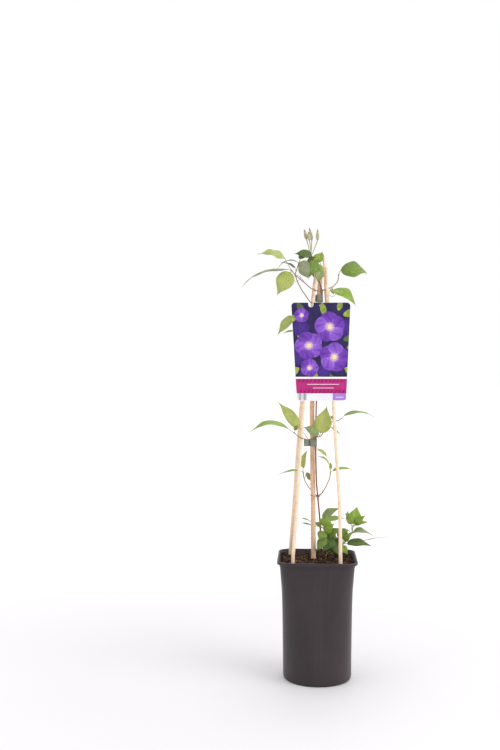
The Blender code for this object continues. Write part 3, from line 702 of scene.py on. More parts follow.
# name: (stalk points, tip, width, way the upper side looks, arch, fold, tone[, extra shape])
LEAVES = {
    "top_outer": ([(-43, -26, 696.8), (-47, -25.5, 704), (-55, -29, 718)], (-100, -40, 725), 25,
        (0.2, -0.6, 0.8), 6, 0.15, "lime", dict(curl=0.12, wave=0.05)),
    "top_long": ([(-44, -27, 698), (-50, -29, 699)], (-126, -48, 669), 21, (0, 0, 1), 12, -0.2, "frost",
        dict(wave=0.03)),
    "top_hanging": ([(-42.2, -26.6, 696), (-46, -31, 694)], (-68, -38, 654), 31, (0, -1, 0.3), 2, 0.1, "lime",
        dict(wave=0.03, curl=0.05)),
    "top_dark": ([(-31, -12, 712), (-36, -9, 715)], (-67, 2, 705), 20, (0, -0.2, 1), 6, 0.2, "dark"),
    "top_woolly": ([(-31, -12.4, 711.4), (-28, -17, 713.5)], (-14, -27, 682), 27, (0.5, 0.8, 0.3), 2, 0.1,
        "frost"),
    "top_back": ([(-31, -12, 712), (-29, -8, 719)], (-9, 15, 734), 17, (0, -0.5, 1), 4, 0.2, "dark"),
    "crown_bright": ([(-5.2, -11.4, 713), (-3, -2, 715), (0, 4, 715)], (10, 17, 735), 20, (0, -0.7, 0.7), 1,
        0.2, "fresh"),
    "crown_dark": ([(-8.8, -8, 722), (-10.5, 0, 727), (-8.5, 8, 726)], (-5, 16, 687), 21, (0, -1, 0), 1, 0.2,
        "dark"),
    "crown_front": ([(-1.4, -13.6, 696.4), (4, -19, 701), (7, -20, 698)], (0, -26, 677), 15, (0, -1, 0.2), 1,
        0.2, "frost"),
    "right_large": ([(37.5, 10, 694), (41, 10.5, 701)], (88, 26, 696), 34, (0.1, -0.85, 0.5), 15, -0.2, "mid",
        dict(curl=0.1)),
    "right_lower": ([(26.2, 2.6, 672), (28, -3, 666)], (66, -22, 635), 25, (0.3, -0.8, 0.5), 12, 0.1, "fresh"),
    "behind_label": ([(-36, 1, 618), (-42, 1, 622)], (-68, -2, 588), 20, (-0.3, -0.8, 0.5), 3, 0.1, "lime"),
    "middle_outer": ([(-39, -42, 423), (-47, -43, 428)], (-116, -55, 420), 26, (0, -0.3, 1), 16, 0.2, "fresh"),
    "middle_upper": ([(-15, -18, 410), (-22, -13, 420), (-31, -12, 430)], (-68, -18, 475), 22, (0.4, -0.9, 0.3),
        3, 0.1, "lime"),
    "middle_arched": ([(0.6, -2.2, 414), (2, -9, 417), (3, -17, 419)], (-25, -17, 431), 19, (0, -0.8, 0.6), 5,
        -0.1, "frost"),
    "middle_broad": ([(3.6, -4.2, 413.4), (4.5, -10.5, 417), (6, -14, 421)], (17, -17, 468), 30, (0, -1, 0.1),
        2, 0.1, "lime", dict(wave=0.03)),
    "middle_right": ([(42, -9, 446), (46, -8, 450)], (103, 12, 444), 20, (0, -0.2, 1), 9, 0.2, "mid"),
    "lower_upright": ([(-24, 9, 352), (-24, 7, 359)], (-15, 1, 392), 14, (-0.6, -0.8, 0.2), 6, 0.2, "lime"),
    "lower_left": ([(-24, 9, 352), (-31, 10, 354)], (-69, 20, 344), 14, (0, -0.2, 1), 3, 0.2, "fresh"),
    "lower_inner": ([(23, -5, 353), (22, -7, 360)], (-3, -14, 381), 13, (0.3, -0.3, 0.9), 8, 0.1, "lime"),
    "below_tie": ([(-1.7, 1.6, 391), (-1, -5, 394), (1, -8, 393)], (18, -13, 377), 13, (0.3, -0.3, 0.9), 3, 0.1,
        "lime"),
    "lower_right": ([(23, -5, 353), (27, -2, 355)], (67, 14, 353), 17, (0, -0.2, 1), 5, 0.2, "fresh"),
    "bush_left": ([(11, 16, 254), (0, 20, 258), (-9, 20, 262)], (-30, 6, 272), 13, (0, -0.3, 1), 2, 0.2,
        "fresh"),
    "bush_round": ([(11, 16, 254), (12, 12.5, 256)], (20, 7, 277), 23, (0, -1, 0.4), 2, -0.1, "fresh"),
    "bush_high": ([(5.3, 21.6, 263.4), (10, 24, 269)], (41, 22, 288), 21, (-0.2, -0.6, 0.8), 4, 0.2, "frost"),
    "bush_inner": ([(5.9, 23.4, 257.6), (11, 27, 262), (14, 28, 264)], (50, 33, 268), 18, (0, -0.4, 1), 3, 0.2,
        "fresh"),
    "bush_small": ([(13.4, 18, 246), (13, 14, 248)], (3, 6, 232), 18, (0, -0.8, 0.6), 3, 0.1, "mid"),
    "bush_broad": ([(13.3, 20, 241), (20, 21, 242), (25, 19, 239)], (10, 6, 213), 26, (0, -0.9, 0.5), 3, 0.1,
        "dark"),
    "bush_low": ([(12.8, 22.6, 235), (20, 25, 239), (27, 23, 237)], (38, 10, 206), 24, (0, -0.9, 0.4), 3, 0.1,
        "dark"),
    "shoot_upright": ([(63, 34, 253.6), (63.6, 34.4, 258)], (71, 38, 290), 24, (0.1, -1, 0.1), 1, 0.2, "fresh"),
    "shoot_right": ([(63, 34, 252.6), (67, 34, 256.5)], (91, 30, 262), 16, (0, -0.4, 1), 2, 0.2, "fresh"),
    "shoot_front": ([(60.6, 33.2, 241.6), (62.5, 28.5, 244.5)], (86, 17, 250), 18, (0, -0.5, 1), 3, 0.2,
        "frost"),
    "shoot_low": ([(46, 29.6, 224), (53, 26.5, 226)], (96, 18, 222), 20, (0, -0.6, 0.9), 5, 0.2, "dark"),
    "shoot_far": ([(51, 31.2, 229), (62, 35, 225), (72, 36, 226)], (131, 44, 235), 16, (0, 0.15, 1), 2, 0.1,
        "frost"),
}
for name, row in LEAVES.items():
    build = Build()
    blade(build, *row[:7], **dict(*row[7:]))
    build.make("green_leaf_" + name, ["leaf_" + name])

# Small leaves too slight for a solid of their own
SMALL = {
    "top": ([(-35.6, -9.4, 698), (-38, -7, 704)], (-62, 1, 714), 13, (0.2, -0.3, 1), 3, 0.2, "dark"),
    "label": ([(-25, 0, 609), (-34, 4, 600), (-41, 5, 596)], (-60, 12, 591), 9, (0, -0.5, 1), 2, 0.2, "fresh"),
    "joint": ([(26.2, 2.6, 672), (24, -3, 668)], (29, -8, 657), 6, (0, -1, 0.3), 1, 0.2, "lime"),
    "middle_a": ([(-39, -42, 423), (-38, -40, 427)], (-33, -38, 436), 7, (0, -1, 0.3), 1, 0.2, "mid"),
    "middle_b": ([(33, -11, 441.4), (31, -9, 445)], (22, -7, 449), 8, (0, -0.8, 0.4), 1, 0.2, "mid"),
    "middle_c": ([(20, -12.4, 433), (24, -6, 430)], (42, 8, 414), 8, (0.2, -0.6, 0.8), 2, 0.1, "lime"),
    "lower_a": ([(-22, 11, 340), (-18, 14, 350)], (-11, 22, 334), 9, (0.3, -0.8, 0.3), 1, 0.2, "frost"),
    "lower_b": ([(23, -5, 353), (23.5, -3, 358)], (23, 1, 371), 6, (0, -1, 0), 0.5, 0.2, "lime"),
    "bush_a": ([(11, 16, 254), (2, 22, 255), (-8, 22, 257)], (-31, 12, 263), 8, (0, -0.3, 1), 1, 0.2, "frost"),
    "bush_b": ([(11, 16, 254), (6, 15, 258)], (-4, 17, 263), 9, (0, -0.7, 0.7), 1, 0.2, "mid"),
    "bush_c": ([(13.3, 20, 241), (21, 23, 247)], (36, 19, 232), 11, (0, -0.8, 0.5), 2, 0.1, "mid"),
    "bush_d": ([(46, 29.6, 224), (49, 38, 242), (48, 40, 250)], (51, 48, 222), 11, (0, -1, 0.1), 1, 0.1,
        "dark"),
    "bush_e": ([(61.6, 33.8, 246), (58, 30, 268)], (47, 23, 280), 6, (0.3, -0.8, 0.5), 1, 0.2, "mid"),
    "bush_f": ([(60.6, 33.4, 241.6), (55, 33, 248)], (46, 33, 240), 8, (0, -0.6, 0.8), 3, 0.2, "fresh"),
    "bush_g": ([(60.4, 34, 241), (64, 38, 243)], (103, 50, 232), 13, (0, -0.3, 1), 6, 0.2, "frost"),
    "bush_h": ([(23, 27, 212.4), (28, 22, 220)], (24, 13, 207), 13, (0, -0.9, 0.4), 2, 0.1, "dark"),
    "crown_a": ([(-8.8, -8, 722), (-9, -12, 725)], (-40, -14, 727), 17, (0.1, -0.9, 0.5), 4, 0.1, "dark"),
    "crown_b": ([(-5.2, -11.4, 713), (-3, -15, 716)], (-14, -22, 684), 21, (0, -1, 0.2), 3, 0.1, "mid"),
    "crown_c": ([(-5.2, -11.4, 713), (1, -14, 710)], (7, -22, 680), 15, (0.3, -1, 0.1), 2, 0.1, "fresh"),
    "bush_j": ([(13.3, 20, 241), (14, 17, 246)], (31, 8, 264), 17, (0, -0.9, 0.4), 3, 0.1, "fresh"),
    "bush_k": ([(12.8, 22.6, 235), (17, 20, 238)], (43, 10, 256), 16, (0, -0.9, 0.5), 4, 0.1, "mid"),
    "bush_l": ([(13.3, 20, 241), (15, 14, 238)], (-2, 2, 214), 17, (0, -0.9, 0.4), 3, 0.1, "mid"),
    "bush_m": ([(37, 28, 217.6), (42, 22, 222)], (54, 12, 208), 14, (0, -0.9, 0.5), 2, 0.1, "fresh"),
    "bush_n": ([(46, 29.6, 224), (47, 26, 230)], (61, 20, 247), 12, (0, -0.9, 0.4), 2, 0.1, "fresh"),
    "bush_o": ([(46, 29.6, 224), (44, 26, 232)], (39, 18, 262), 15, (0, -1, 0.2), 2, 0.1, "mid"),
    "bush_p": ([(63, 34, 253.6), (60, 33, 258)], (52, 30, 284), 12, (0, -1, 0.1), 2, 0.1, "fresh"),
    "bush_q": ([(63, 34, 252.6), (67, 32, 260)], (86, 27, 275), 12, (0, -0.8, 0.5), 2, 0.1, "fresh"),
    "bush_r": ([(16.6, 29.4, 206), (18, 25, 214)], (31, 17, 238), 16, (0, -0.9, 0.3), 2, 0.1, "dark"),
    "bush_i": ([(37, 28, 217.6), (38, 22, 226)], (36, 10, 238), 13, (0, -0.7, 0.7), 2, 0.1, "dark"),
}
for name, row in SMALL.items():
    build = Build()
    blade(build, *row, stalk_radius=0.5)
    build.make("sprig_" + name)

# ---------------------------------------------------------------- tendrils: fine loops that grip the canes
TENDRILS = {
    "cane": (0.55, [(1.9, 9, 309), (-1, 4.6, 309), (-6, 3.6, 310.5), (-12, 6, 312.5), (-13, 11, 312),
        (-8, 14.4, 310)]),
    "top": (0.45, [(-21, -19, 677), (-26, -20, 684), (-34, -21, 690), (-40, -20, 688), (-41, -19, 682),
        (-35, -18, 680), (-29, -18, 684), (-29, -18, 691)]),
    "front": (0.5, [(-4.6, -12.6, 708), (3, -13, 714), (7, -14, 706), (8.5, -15, 694), (10, -15.4, 687)]),
    "right": (0.45, [(26, 3, 671.6), (20, -4, 661), (24, -8, 655), (30, -6, 656), (32, -2, 662)]),
    "lower": (0.45, [(2.6, 7, 312), (8, 4, 316), (10, 3, 322), (9, 3.4, 327), (5, 5, 333)]),
}
for name, (radius, axis) in TENDRILS.items():
    build = Build()
    line = smooth_route(axis, 8)
    tube(build, line, taper(len(line), radius, radius * 0.6), 8, STALK)
    build.make("tendril_" + name)

# ---------------------------------------------------------------- buds
BUDS = {
    "bud_left": ([(-10, -7, 725), (-12.4, -7.2, 730), (-14.5, -8, 740), (-18, -9.5, 753)], (-22, -11, 770),
        3.1),
    "bud_front": ([(-10, -7.2, 725), (-10.4, -9, 730), (-11.5, -12, 740), (-13, -14, 750)], (-15, -18, 765),
        2.9),
    "bud_back": ([(-10, -7, 725), (-9.9, -5, 730), (-9.5, -1, 740), (-9, 1, 753)], (-13, 4, 775), 3.1),
    "bud_right": ([(-10, -7, 725), (-7.6, -6.8, 729), (-3, -5, 741), (1, -4.5, 752)], (1, -4, 771), 3.0),
}


BUD_SIDES, BUD_SPLIT = 32, 8               # the tip's colour starts at that row of the profile
# share of the bud's length, share of its widest radius
BUD_PROFILE = [(-0.03, 0.30), (0.02, 0.48), (0.08, 0.70), (0.16, 0.87), (0.26, 0.97), (0.38, 1.0), (0.5, 0.93),
               (0.62, 0.78), (0.74, 0.57), (0.84, 0.38), (0.92, 0.23), (0.97, 0.13), (1.0, 0.05)]


def build_bud(name, stalk, tip, widest):
    build = Build()
    line = smooth_route(stalk, 6)
    tube(build, line, taper(len(line), 0.62, 0.85), 10, STALK_GREEN)
    base, tip = Vector(stalk[-1]), Vector(tip)
    axis = (tip - base).normalized()
    side = axis.cross(Vector((0, 1, 0))).normalized()
    front = axis.cross(side)
    rings = []
    for share, size in BUD_PROFILE:
        centre = base.lerp(tip, share)
        ring = []
        for i in range(BUD_SIDES):
            angle = 2 * math.pi * i / BUD_SIDES + 0.5 * share
            seam = 1 - 0.13 * abs(math.cos(2 * angle)) ** 0.5 * min(1.0, 2.2 * share + 0.2)
            rib = 1 + 0.035 * math.cos(12 * angle)
            r = widest * size * (seam * rib + 0.08)
            ring.append(centre + side * (r * math.cos(angle)) + front * (r * math.sin(angle)))
        rings.append(ring)
    v_of = [0.4 * share for share, _ in BUD_PROFILE]
    lower = build.rings(rings[:BUD_SPLIT + 1], BUD, v_of=v_of[:BUD_SPLIT + 1])
    build.cap(lower, BUD_SIDES, BUD, flip=True)
    build.rings(rings[BUD_SPLIT:], BUD_TIP, v_of=v_of[BUD_SPLIT:])
    build.cap(len(build.points) - BUD_SIDES, BUD_SIDES, BUD_TIP)
    build.make("plant_" + name, ["flower_" + name])


for name, row in BUDS.items():
    build_bud(name, *row)


# ---------------------------------------------------------------- ties
TAPE_THICK, TAPE_SLACK, TAPE_ROWS = 0.35, 0.35, 9


def arc(centre, radius, a, b, steps):
    angles = [a + (b - a) * k / steps for k in range(steps + 1)]
    return [centre + Vector((math.cos(angle), math.sin(angle))) * radius for angle in angles]


def build_tie(name, cane, cane_radius, stem, stem_radius, low, high, tails, cad):
    """Soft tape wound round the centre cane and the stem, two ends pressed together."""
    c, s = Vector(cane), Vector(stem)
    rc, rs = (radius + TAPE_SLACK + TAPE_THICK / 2 for radius in (cane_radius, stem_radius))
    towards = math.atan2((s - c).y, (s - c).x)
    spread = math.acos((rc - rs) / (s - c).length)
    path = [Vector(p) for p in tails[0]]
    path += arc(c, rc, math.radians(-172), towards - spread, 12)
    path += arc(s, rs, towards - spread, towards + spread, 12)[1:]
    path += arc(c, rc, towards + spread, math.radians(160), 14)[1:]
    path += [Vector(p) for p in tails[1]]
    fine = []
    for a, b in zip(path, path[1:]):
        fine += [a.lerp(b, k / 3) for k in range(3)]
    fine.append(path[-1])
    build = Build()
    loops = []
    for i, p in enumerate(fine):
        along = (fine[min(i + 1, len(fine) - 1)] - fine[max(i - 1, 0)]).normalized()
        side = Vector((-along.y, along.x))
        left, right = [], []
        for k in range(TAPE_ROWS):
            share = k / (TAPE_ROWS - 1)
            z = low + (high - low) * share + 0.35 * math.sin(0.5 * i) * (share - 0.5) * 2
            q = p + side * (0.3 * noise.noise(Vector((i * 0.23, k * 0.5, low))))
            left.append(Vector((*(q + side * TAPE_THICK / 2), z)))
            right.append(Vector((*(q - side * TAPE_THICK / 2), z)))
        loops.append(right + left[::-1])
    count = 2 * TAPE_ROWS
    build.cap(build.rings(loops, TIE), count, TIE, flip=True)
    build.cap(len(build.points) - count, count, TIE)
    build.make(name, [cad])


build_tie("tape_lower", (-7.6, 6.7), 4.4, (-2.2, 1.9), 1.6, 397.2, 408.8,
          ([(-22.5, 0.5), (-17, 3.2)], [(-17, 6.2)]), "tie_lower")
build_tie("tape_upper", (3.4, -0.7), 4.4, (8.2, -4.5), 1.4, 646.2, 657.8,
          ([(-6.5, -4.4), (-4, -2.8)], [(-5, 0.2)]), "tie_upper")

# ---------------------------------------------------------------- label
# x runs across the label and y up it, from its middle
LABEL_CENTRE = Vector((6.8, -22.55, 560.0))
LABEL_TURN, LABEL_LEAN = math.radians(3.5), math.radians(4.9)
LABEL_TOP, LABEL_BOTTOM, LABEL_HEIGHT, LABEL_THICK, LABEL_CORNER = 101.0, 84.0, 168.0, 0.7, 6.0
LABEL_HIGH, LABEL_LOW = LABEL_HEIGHT / 2, -LABEL_HEIGHT / 2
NOTCH_X, NOTCH_HALF, NOTCH_STEP = -17, 4.1, 3.6        # middle, half its width, depth of each half
HOLE_X, HOLE_Y, HOLE_RADIUS, HOLE_SIDES = -0.6, 79, 1.9, 24
ACROSS = Vector((math.cos(LABEL_TURN), math.sin(LABEL_TURN), 0))
UP = Vector((-math.sin(LABEL_TURN) * math.sin(LABEL_LEAN), math.cos(LABEL_TURN) * math.sin(LABEL_LEAN),
             math.cos(LABEL_LEAN)))
OUT = ACROSS.cross(UP)                     # points to the front
LAYER = 0.03                               # one print layer above the last
PICTURE_LOW, BAND_HIGH, BAND_LOW = -43.3, -46.6, -71.4
PICTURE_MARGIN, BAND_MARGIN = 0.25, 0.4
CARD = plain("label_card", (0.80, 0.80, 0.84), 0.32, 0.5, 0.03, 200, 0.00003)
CARD_EDGE = plain("label_edge", (0.62, 0.62, 0.68), 0.5, 0.4, 0.05)


def flat_tone(name, low, high, scale=60.0):
    made = Finish(name, 0.4, 0.25)
    made.paint(made.ramp(made.noise(made.mapped("Object"), scale, 4, 0.6), (0.3, low), (0.7, high)))
    return made.mat


def petal_ink(name, heart, body, rim):
    """UV u runs from the petal's foot to its end, v across it."""
    made = Finish(name, 0.4, 0.25)
    u, v = made.split_uv()
    streak = made.noise(made.mapped("UV", (2, 14, 1)), 1.0, 4, 0.6)
    colour = made.ramp(u, (0.05, heart), (0.45, body), (1.0, rim))
    colour = made.mix(made.mask(streak, 0.35, 0.75, 0.6), colour, heart)
    middle = made.maths("ABSOLUTE", made.minus(v, 0.5))
    made.paint(made.mix(made.times(made.line(middle, 0.09), 0.5), colour, rim))
    return made.mat


NAVY = flat_tone("print_night", (0.010, 0.008, 0.045), (0.035, 0.022, 0.12), 90)
PETAL = petal_ink("print_petal", (0.30, 0.12, 0.60), (0.12, 0.022, 0.36), (0.075, 0.012, 0.27))
PETAL_LIGHT = petal_ink("print_petal_light", (0.42, 0.22, 0.76), (0.20, 0.055, 0.50), (0.11, 0.02, 0.34))
PETAL_FAR = petal_ink("print_petal_far", (0.07, 0.03, 0.24), (0.05, 0.018, 0.20), (0.03, 0.012, 0.14))
PRINT_LEAF = flat_tone("print_leaf", (0.16, 0.24, 0.03), (0.40, 0.50, 0.08), 130)
PRINT_LEAF_DARK = flat_tone("print_leaf_dark", (0.05, 0.10, 0.03), (0.12, 0.18, 0.06), 130)
STAMEN = flat_tone("print_stamen", (0.55, 0.28, 0.35), (0.85, 0.70, 0.62), 400)
STAMEN_EYE = flat_tone("print_eye", (0.70, 0.62, 0.30), (0.85, 0.80, 0.55), 400)
MAGENTA = flat_tone("print_magenta", (0.40, 0.012, 0.15), (0.52, 0.03, 0.22), 40)
MAGENTA_DEEP = flat_tone("print_magenta_deep", (0.28, 0.006, 0.11), (0.34, 0.01, 0.13))
PAPER = flat_tone("print_paper", (0.74, 0.76, 0.90), (0.82, 0.83, 0.93), 40)
# the two greys below are no ink: painted shadow of the canes standing behind the card, seen through it
PAINTED_CANE_SHADOW = flat_tone("painted_cane_shadow", (0.30, 0.30, 0.32), (0.38, 0.38, 0.40))
PAINTED_CANE_SHADOW_PALE = flat_tone("painted_cane_shadow_pale", (0.58, 0.58, 0.61), (0.66, 0.66, 0.69))
LILAC = flat_tone("print_lilac", (0.36, 0.19, 0.60), (0.44, 0.26, 0.68))
WHITE = flat_tone("print_white", (0.84, 0.84, 0.86), (0.9, 0.9, 0.92))
# Generic motifs of the picture: x, y, way it points or is turned, and size
PRINT_LEAVES = (
    (-40, 60, 200, 24, 12, PRINT_LEAF), (-30, 66, 120, 20, 10, PRINT_LEAF_DARK),
    (38, 62, 20, 24, 12, PRINT_LEAF), (30, 70, 75, 18, 9, PRINT_LEAF),
    (44, 8, -20, 22, 12, PRINT_LEAF), (38, 20, 15, 24, 11, PRINT_LEAF_DARK),
    (-42, 8, 170, 18, 10, PRINT_LEAF_DARK), (-6, 32, 60, 22, 11, PRINT_LEAF_DARK),
    (-38, -28, 215, 22, 12, PRINT_LEAF), (-8, -34, 250, 22, 11, PRINT_LEAF),
    (12, -36, 290, 20, 10, PRINT_LEAF_DARK), (40, -28, -35, 20, 11, PRINT_LEAF),
    (6, 62, 100, 22, 10, PRINT_LEAF), (-22, 18, 150, 22, 11, PRINT_LEAF),
    (22, 12, -60, 20, 10, PRINT_LEAF_DARK))
FAR_BLOSSOMS = ((-34, 40, 10, 15), (42, 42, 40, 14), (-40, -10, 60, 14), (4, -34, 20, 13))
BLOSSOMS = ((15, 42, 96, 27, PETAL, PETAL_LIGHT), (-21, 10, 40, 25, PETAL_LIGHT, PETAL),
            (22, -10, 10, 26, PETAL, PETAL_LIGHT), (-20, -28, 70, 16, PETAL_LIGHT, PETAL),
            (-33, 62, 20, 13, PETAL, PETAL_LIGHT))
PETALS, STAMENS, EYE_SIDES, FULL = 5, 14, 20, 1.45


def turned(x, y, radius, share):
    """Point on a circle, at a share of its full turn."""
    return x + radius * math.cos(2 * math.pi * share), y + radius * math.sin(2 * math.pi * share)


def on_label(x, y, lift):
    return LABEL_CENTRE + ACROSS * x + UP * y + OUT * lift


def side_at(y):
    """Half the label's width at a height."""
    return (LABEL_BOTTOM + (LABEL_TOP - LABEL_BOTTOM) * (y + LABEL_HEIGHT / 2) / LABEL_HEIGHT) / 2


def label_outline(steps=10, notch_steps=8):
    outline = []
    for x, y, start in [(-LABEL_BOTTOM / 2, LABEL_LOW, 180), (LABEL_BOTTOM / 2, LABEL_LOW, 270),
                        (LABEL_TOP / 2, LABEL_HIGH, 0), (-LABEL_TOP / 2, LABEL_HIGH, 90)]:
        cx, cy = x - math.copysign(LABEL_CORNER, x), y - math.copysign(LABEL_CORNER, y)
        outline += [turned(cx, cy, LABEL_CORNER, (start + 90 * k / steps) / 360) for k in range(steps + 1)]
        if start == 0:
            shoulder = LABEL_HIGH - NOTCH_STEP
            outline += [(-12.5, LABEL_HIGH), (-12.9, shoulder)]
            for k in range(1, notch_steps):
                angle = math.pi * k / notch_steps
                outline.append((NOTCH_X + NOTCH_HALF * math.cos(angle), shoulder - NOTCH_STEP * math.sin(angle)))
            outline += [(-21.1, shoulder), (-21.5, LABEL_HIGH)]
    return outline


def clip(shape, edges):
    """Keeps the part of a polygon on the inner side of each edge (point, inward direction)."""
    for (px, py), (nx, ny) in edges:
        kept = []
        for first, second in zip(shape, shape[1:] + shape[:1]):
            d0, d1 = ((p[0] - px) * nx + (p[1] - py) * ny for p in (first, second))
            if d0 >= 0:
                kept.append(first)
            if (d0 >= 0) != (d1 >= 0):
                kept.append(tuple(a + (b - a) * d0 / (d0 - d1) for a, b in zip(first, second)))
        shape = kept
        if len(shape) < 3:
            return []
    return shape


def picture_edges():
    """Half-planes of the label's rounded outline, a hair inside it, and the foot of the picture."""
    outline = [p for p in label_outline() if not (-30 < p[0] < -5 and p[1] > 70)]
    edges = [((0, PICTURE_LOW), (0, 1))]
    for (x0, y0), (x1, y1) in zip(outline, outline[1:] + outline[:1]):
        size = math.hypot(x1 - x0, y1 - y0)
        if size > 1e-6:
            inward = (-(y1 - y0) / size, (x1 - x0) / size)
            edges.append(((x0 + inward[0] * PICTURE_MARGIN, y0 + inward[1] * PICTURE_MARGIN), inward))
    return edges


EDGES = picture_edges()


def label_shape(build, shape, layer, mat, edges=()):
    """One flat shape on the label, for the print and the painted cane shadow alike: (x, y, u, v) points."""
    shape = clip(list(shape), edges)
    if len(shape) < 3:
        return
    first = len(build.points)
    build.points.extend(on_label(p[0], p[1], LABEL_THICK / 2 + layer * LAYER) for p in shape)
    build.face(range(first, first + len(shape)), mat, [(p[2], p[3]) for p in shape])


def petal_shape(cx, cy, degrees, inner, outer, width, blunt):
    """Rounded petal from its foot outwards."""
    dx, dy = math.cos(math.radians(degrees)), math.sin(math.radians(degrees))
    left, right = [], []
    for k in range(17):
        u = k / 16
        w = width / 2 * math.sin(math.pi * min(1.0, u * 0.97 + 0.03) ** blunt) ** 0.75 + 0.25
        r = inner + (outer - inner) * u
        for row, sign in ((left, 1), (right, -1)):
            row.append((cx + dx * r - dy * w * sign, cy + dy * r + dx * w * sign, u, 0.5 + 0.5 * sign))
    return right + list(reversed(left))


def blossom(build, x, y, turn, radius, layer, mats):
    for k in range(PETALS):
        shape = petal_shape(x, y, turn + 360 * k / PETALS, radius * 0.06, radius, radius * 1.02, FULL)
        label_shape(build, shape, layer + 0.4 * (k % 2) + 0.02 * k, mats[k % 2], EDGES)
    eye = [(*turned(x, y, radius * 0.17, k / EYE_SIDES), 0.5, 0.5) for k in range(EYE_SIDES)]
    label_shape(build, eye, layer + 1.2, STAMEN_EYE, EDGES)
    for k in range(STAMENS):
        shape = petal_shape(x, y, turn + 360 * k / STAMENS, radius * 0.12, radius * 0.3, radius * 0.045, 1.3)
        label_shape(build, shape, layer + 1.4, STAMEN, EDGES)


def open_at(x, y, room):
    """True over the notch and the punched hole."""
    away = abs(x - NOTCH_X)
    bottom = LABEL_HIGH - NOTCH_STEP
    notch = away < 4.3 + room and (y > bottom or math.hypot(away, y - bottom) < NOTCH_HALF + room)
    return notch or math.hypot(x - HOLE_X, y - HOLE_Y) < HOLE_RADIUS + room


def build_card():
    build = Build()
    outline = label_outline()
    hole = [turned(HOLE_X, HOLE_Y, HOLE_RADIUS, k / HOLE_SIDES) for k in range(HOLE_SIDES)]
    count = len(outline)
    for side in (1, -1):
        build.points.extend(on_label(x, y, side * LABEL_THICK / 2) for x, y in outline)
    for i in range(count):
        j = (i + 1) % count
        build.face((j, i, i + count, j + count), CARD_EDGE)
    # bridge the outline to the punched hole so each face stays one simple polygon
    nearest = min(range(count), key=lambda i: math.hypot(outline[i][0] + 12.5, outline[i][1] - LABEL_HIGH))
    rings = []
    for side in (1, -1):
        rings.append(len(build.points))
        build.points.extend(on_label(x, y, side * LABEL_THICK / 2) for x, y in hole)
    start = min(range(HOLE_SIDES), key=lambda k: hole[k][0])
    for index, flip in ((0, False), (1, True)):
        loop = [(nearest + k) % count + index * count for k in range(count)]
        around = [rings[index] + (start - k) % HOLE_SIDES for k in range(HOLE_SIDES)]
        loop += [len(build.points)] + around + [len(build.points) + 1]
        build.points += [build.points[nearest + index * count], build.points[rings[index] + start]]
        build.face(reversed(loop) if flip else loop, CARD)
    for k in range(HOLE_SIDES):
        j = (k + 1) % HOLE_SIDES
        build.face((rings[0] + k, rings[0] + j, rings[1] + j, rings[1] + k), CARD_EDGE)
    build.make("label_card", ["plant_label"], smooth=False)


def print_picture(build):
    # the ground in tiles, finer and left open round the notch and the hole
    tiles = []
    for x0 in range(-52, 52, 4):
        for y0 in range(-44, 84, 4):
            step = 0.5 if y0 >= 72 and -24 <= x0 <= 0 else 4
            parts = range(int(4 / step))
            tiles += [(x0 + a * step, y0 + b * step, step) for a in parts for b in parts]
    for x0, y0, step in tiles:
        if not open_at(x0 + step / 2, y0 + step / 2, step * 0.6):
            tile = [(x0, y0), (x0 + step, y0), (x0 + step, y0 + step), (x0, y0 + step)]
            label_shape(build, [(x, y, x / 60, y / 60) for x, y in tile], 1, NAVY, EDGES)
    for x, y, way, length, width, mat in PRINT_LEAVES:
        shape = petal_shape(x, y, way, 0, length, width, 1.0)
        label_shape(build, shape, 2 + 0.05 * abs(way % 7), mat, EDGES)
    for x, y, turn, radius in FAR_BLOSSOMS:
        for k in range(PETALS):
            shape = petal_shape(x, y, turn + 360 / PETALS * k, 1, radius, radius, FULL)
            label_shape(build, shape, 3 + 0.1 * k, PETAL_FAR, EDGES)
    for k, (x, y, turn, radius, *mats) in enumerate(BLOSSOMS):
        blossom(build, x, y, turn, radius, 5 + 3 * k, mats)


def block(build, y0, y1, mat, layer, span=None):
    """Band between two heights, over the label's width or from one x to another."""
    (a0, a1), (b0, b1) = ([span or (BAND_MARGIN - side_at(y), side_at(y) - BAND_MARGIN) for y in (y0, y1)])
    label_shape(build, [(a0, y0, 0, 0), (a1, y0, 1, 0), (b1, y1, 1, 1), (b0, y1, 0, 1)], layer, mat)


def foot_strip(build, low, left, right, mat, layer):
    """Part of the strip under the band, with the label's own rounded corners."""
    edges = [((0, low), (0, 1)), ((0, BAND_LOW), (0, -1)), ((left, 0), (1, 0)), ((right, 0), (-1, 0))]
    label_shape(build, [(x, y, 0, 0) for x, y in label_outline()], layer, mat, edges)


def print_bands_and_shadow(build):
    block(build, BAND_HIGH, PICTURE_LOW, WHITE, 1)
    block(build, BAND_LOW, BAND_HIGH, MAGENTA, 1)
    # generic drops in a deeper tone, then plain bars
    edges = [((0, BAND_LOW + 0.2), (0, 1)), ((0, BAND_HIGH - 0.2), (0, -1)), ((-42.4, 0), (1, 0.05)),
             ((42.4, 0), (-1, 0.05))]
    for k in range(13):
        for y, way in ((-53, 60), (-64.5, 240)):
            label_shape(build, petal_shape(-39 + 6.5 * k, y, way, 0, 8.5, 3.6, 1.2), 2, MAGENTA_DEEP, edges)
    block(build, -56.4, -55.6, WHITE, 3, (-24, 30))
    block(build, -62.6, -61.9, WHITE, 3, (-14, 21))
    foot_strip(build, LABEL_LOW + 0.3, -41.9, 41.9, PAPER, 1)
    # grey bars at the bottom left: painted shadow of the canes behind the card, not print
    stops = (-40.5, -37.8, -34.6, -30.2, -26.6, -24.6)
    for k, span in enumerate(zip(stops, stops[1:])):
        block(build, -82.6, -71.6, PAINTED_CANE_SHADOW if k % 2 else PAINTED_CANE_SHADOW_PALE, 2, span)
    foot_strip(build, LABEL_LOW + 0.9, 19, 41.6, LILAC, 2)
    block(build, -78.4, -77.5, WHITE, 3, (24, 37))


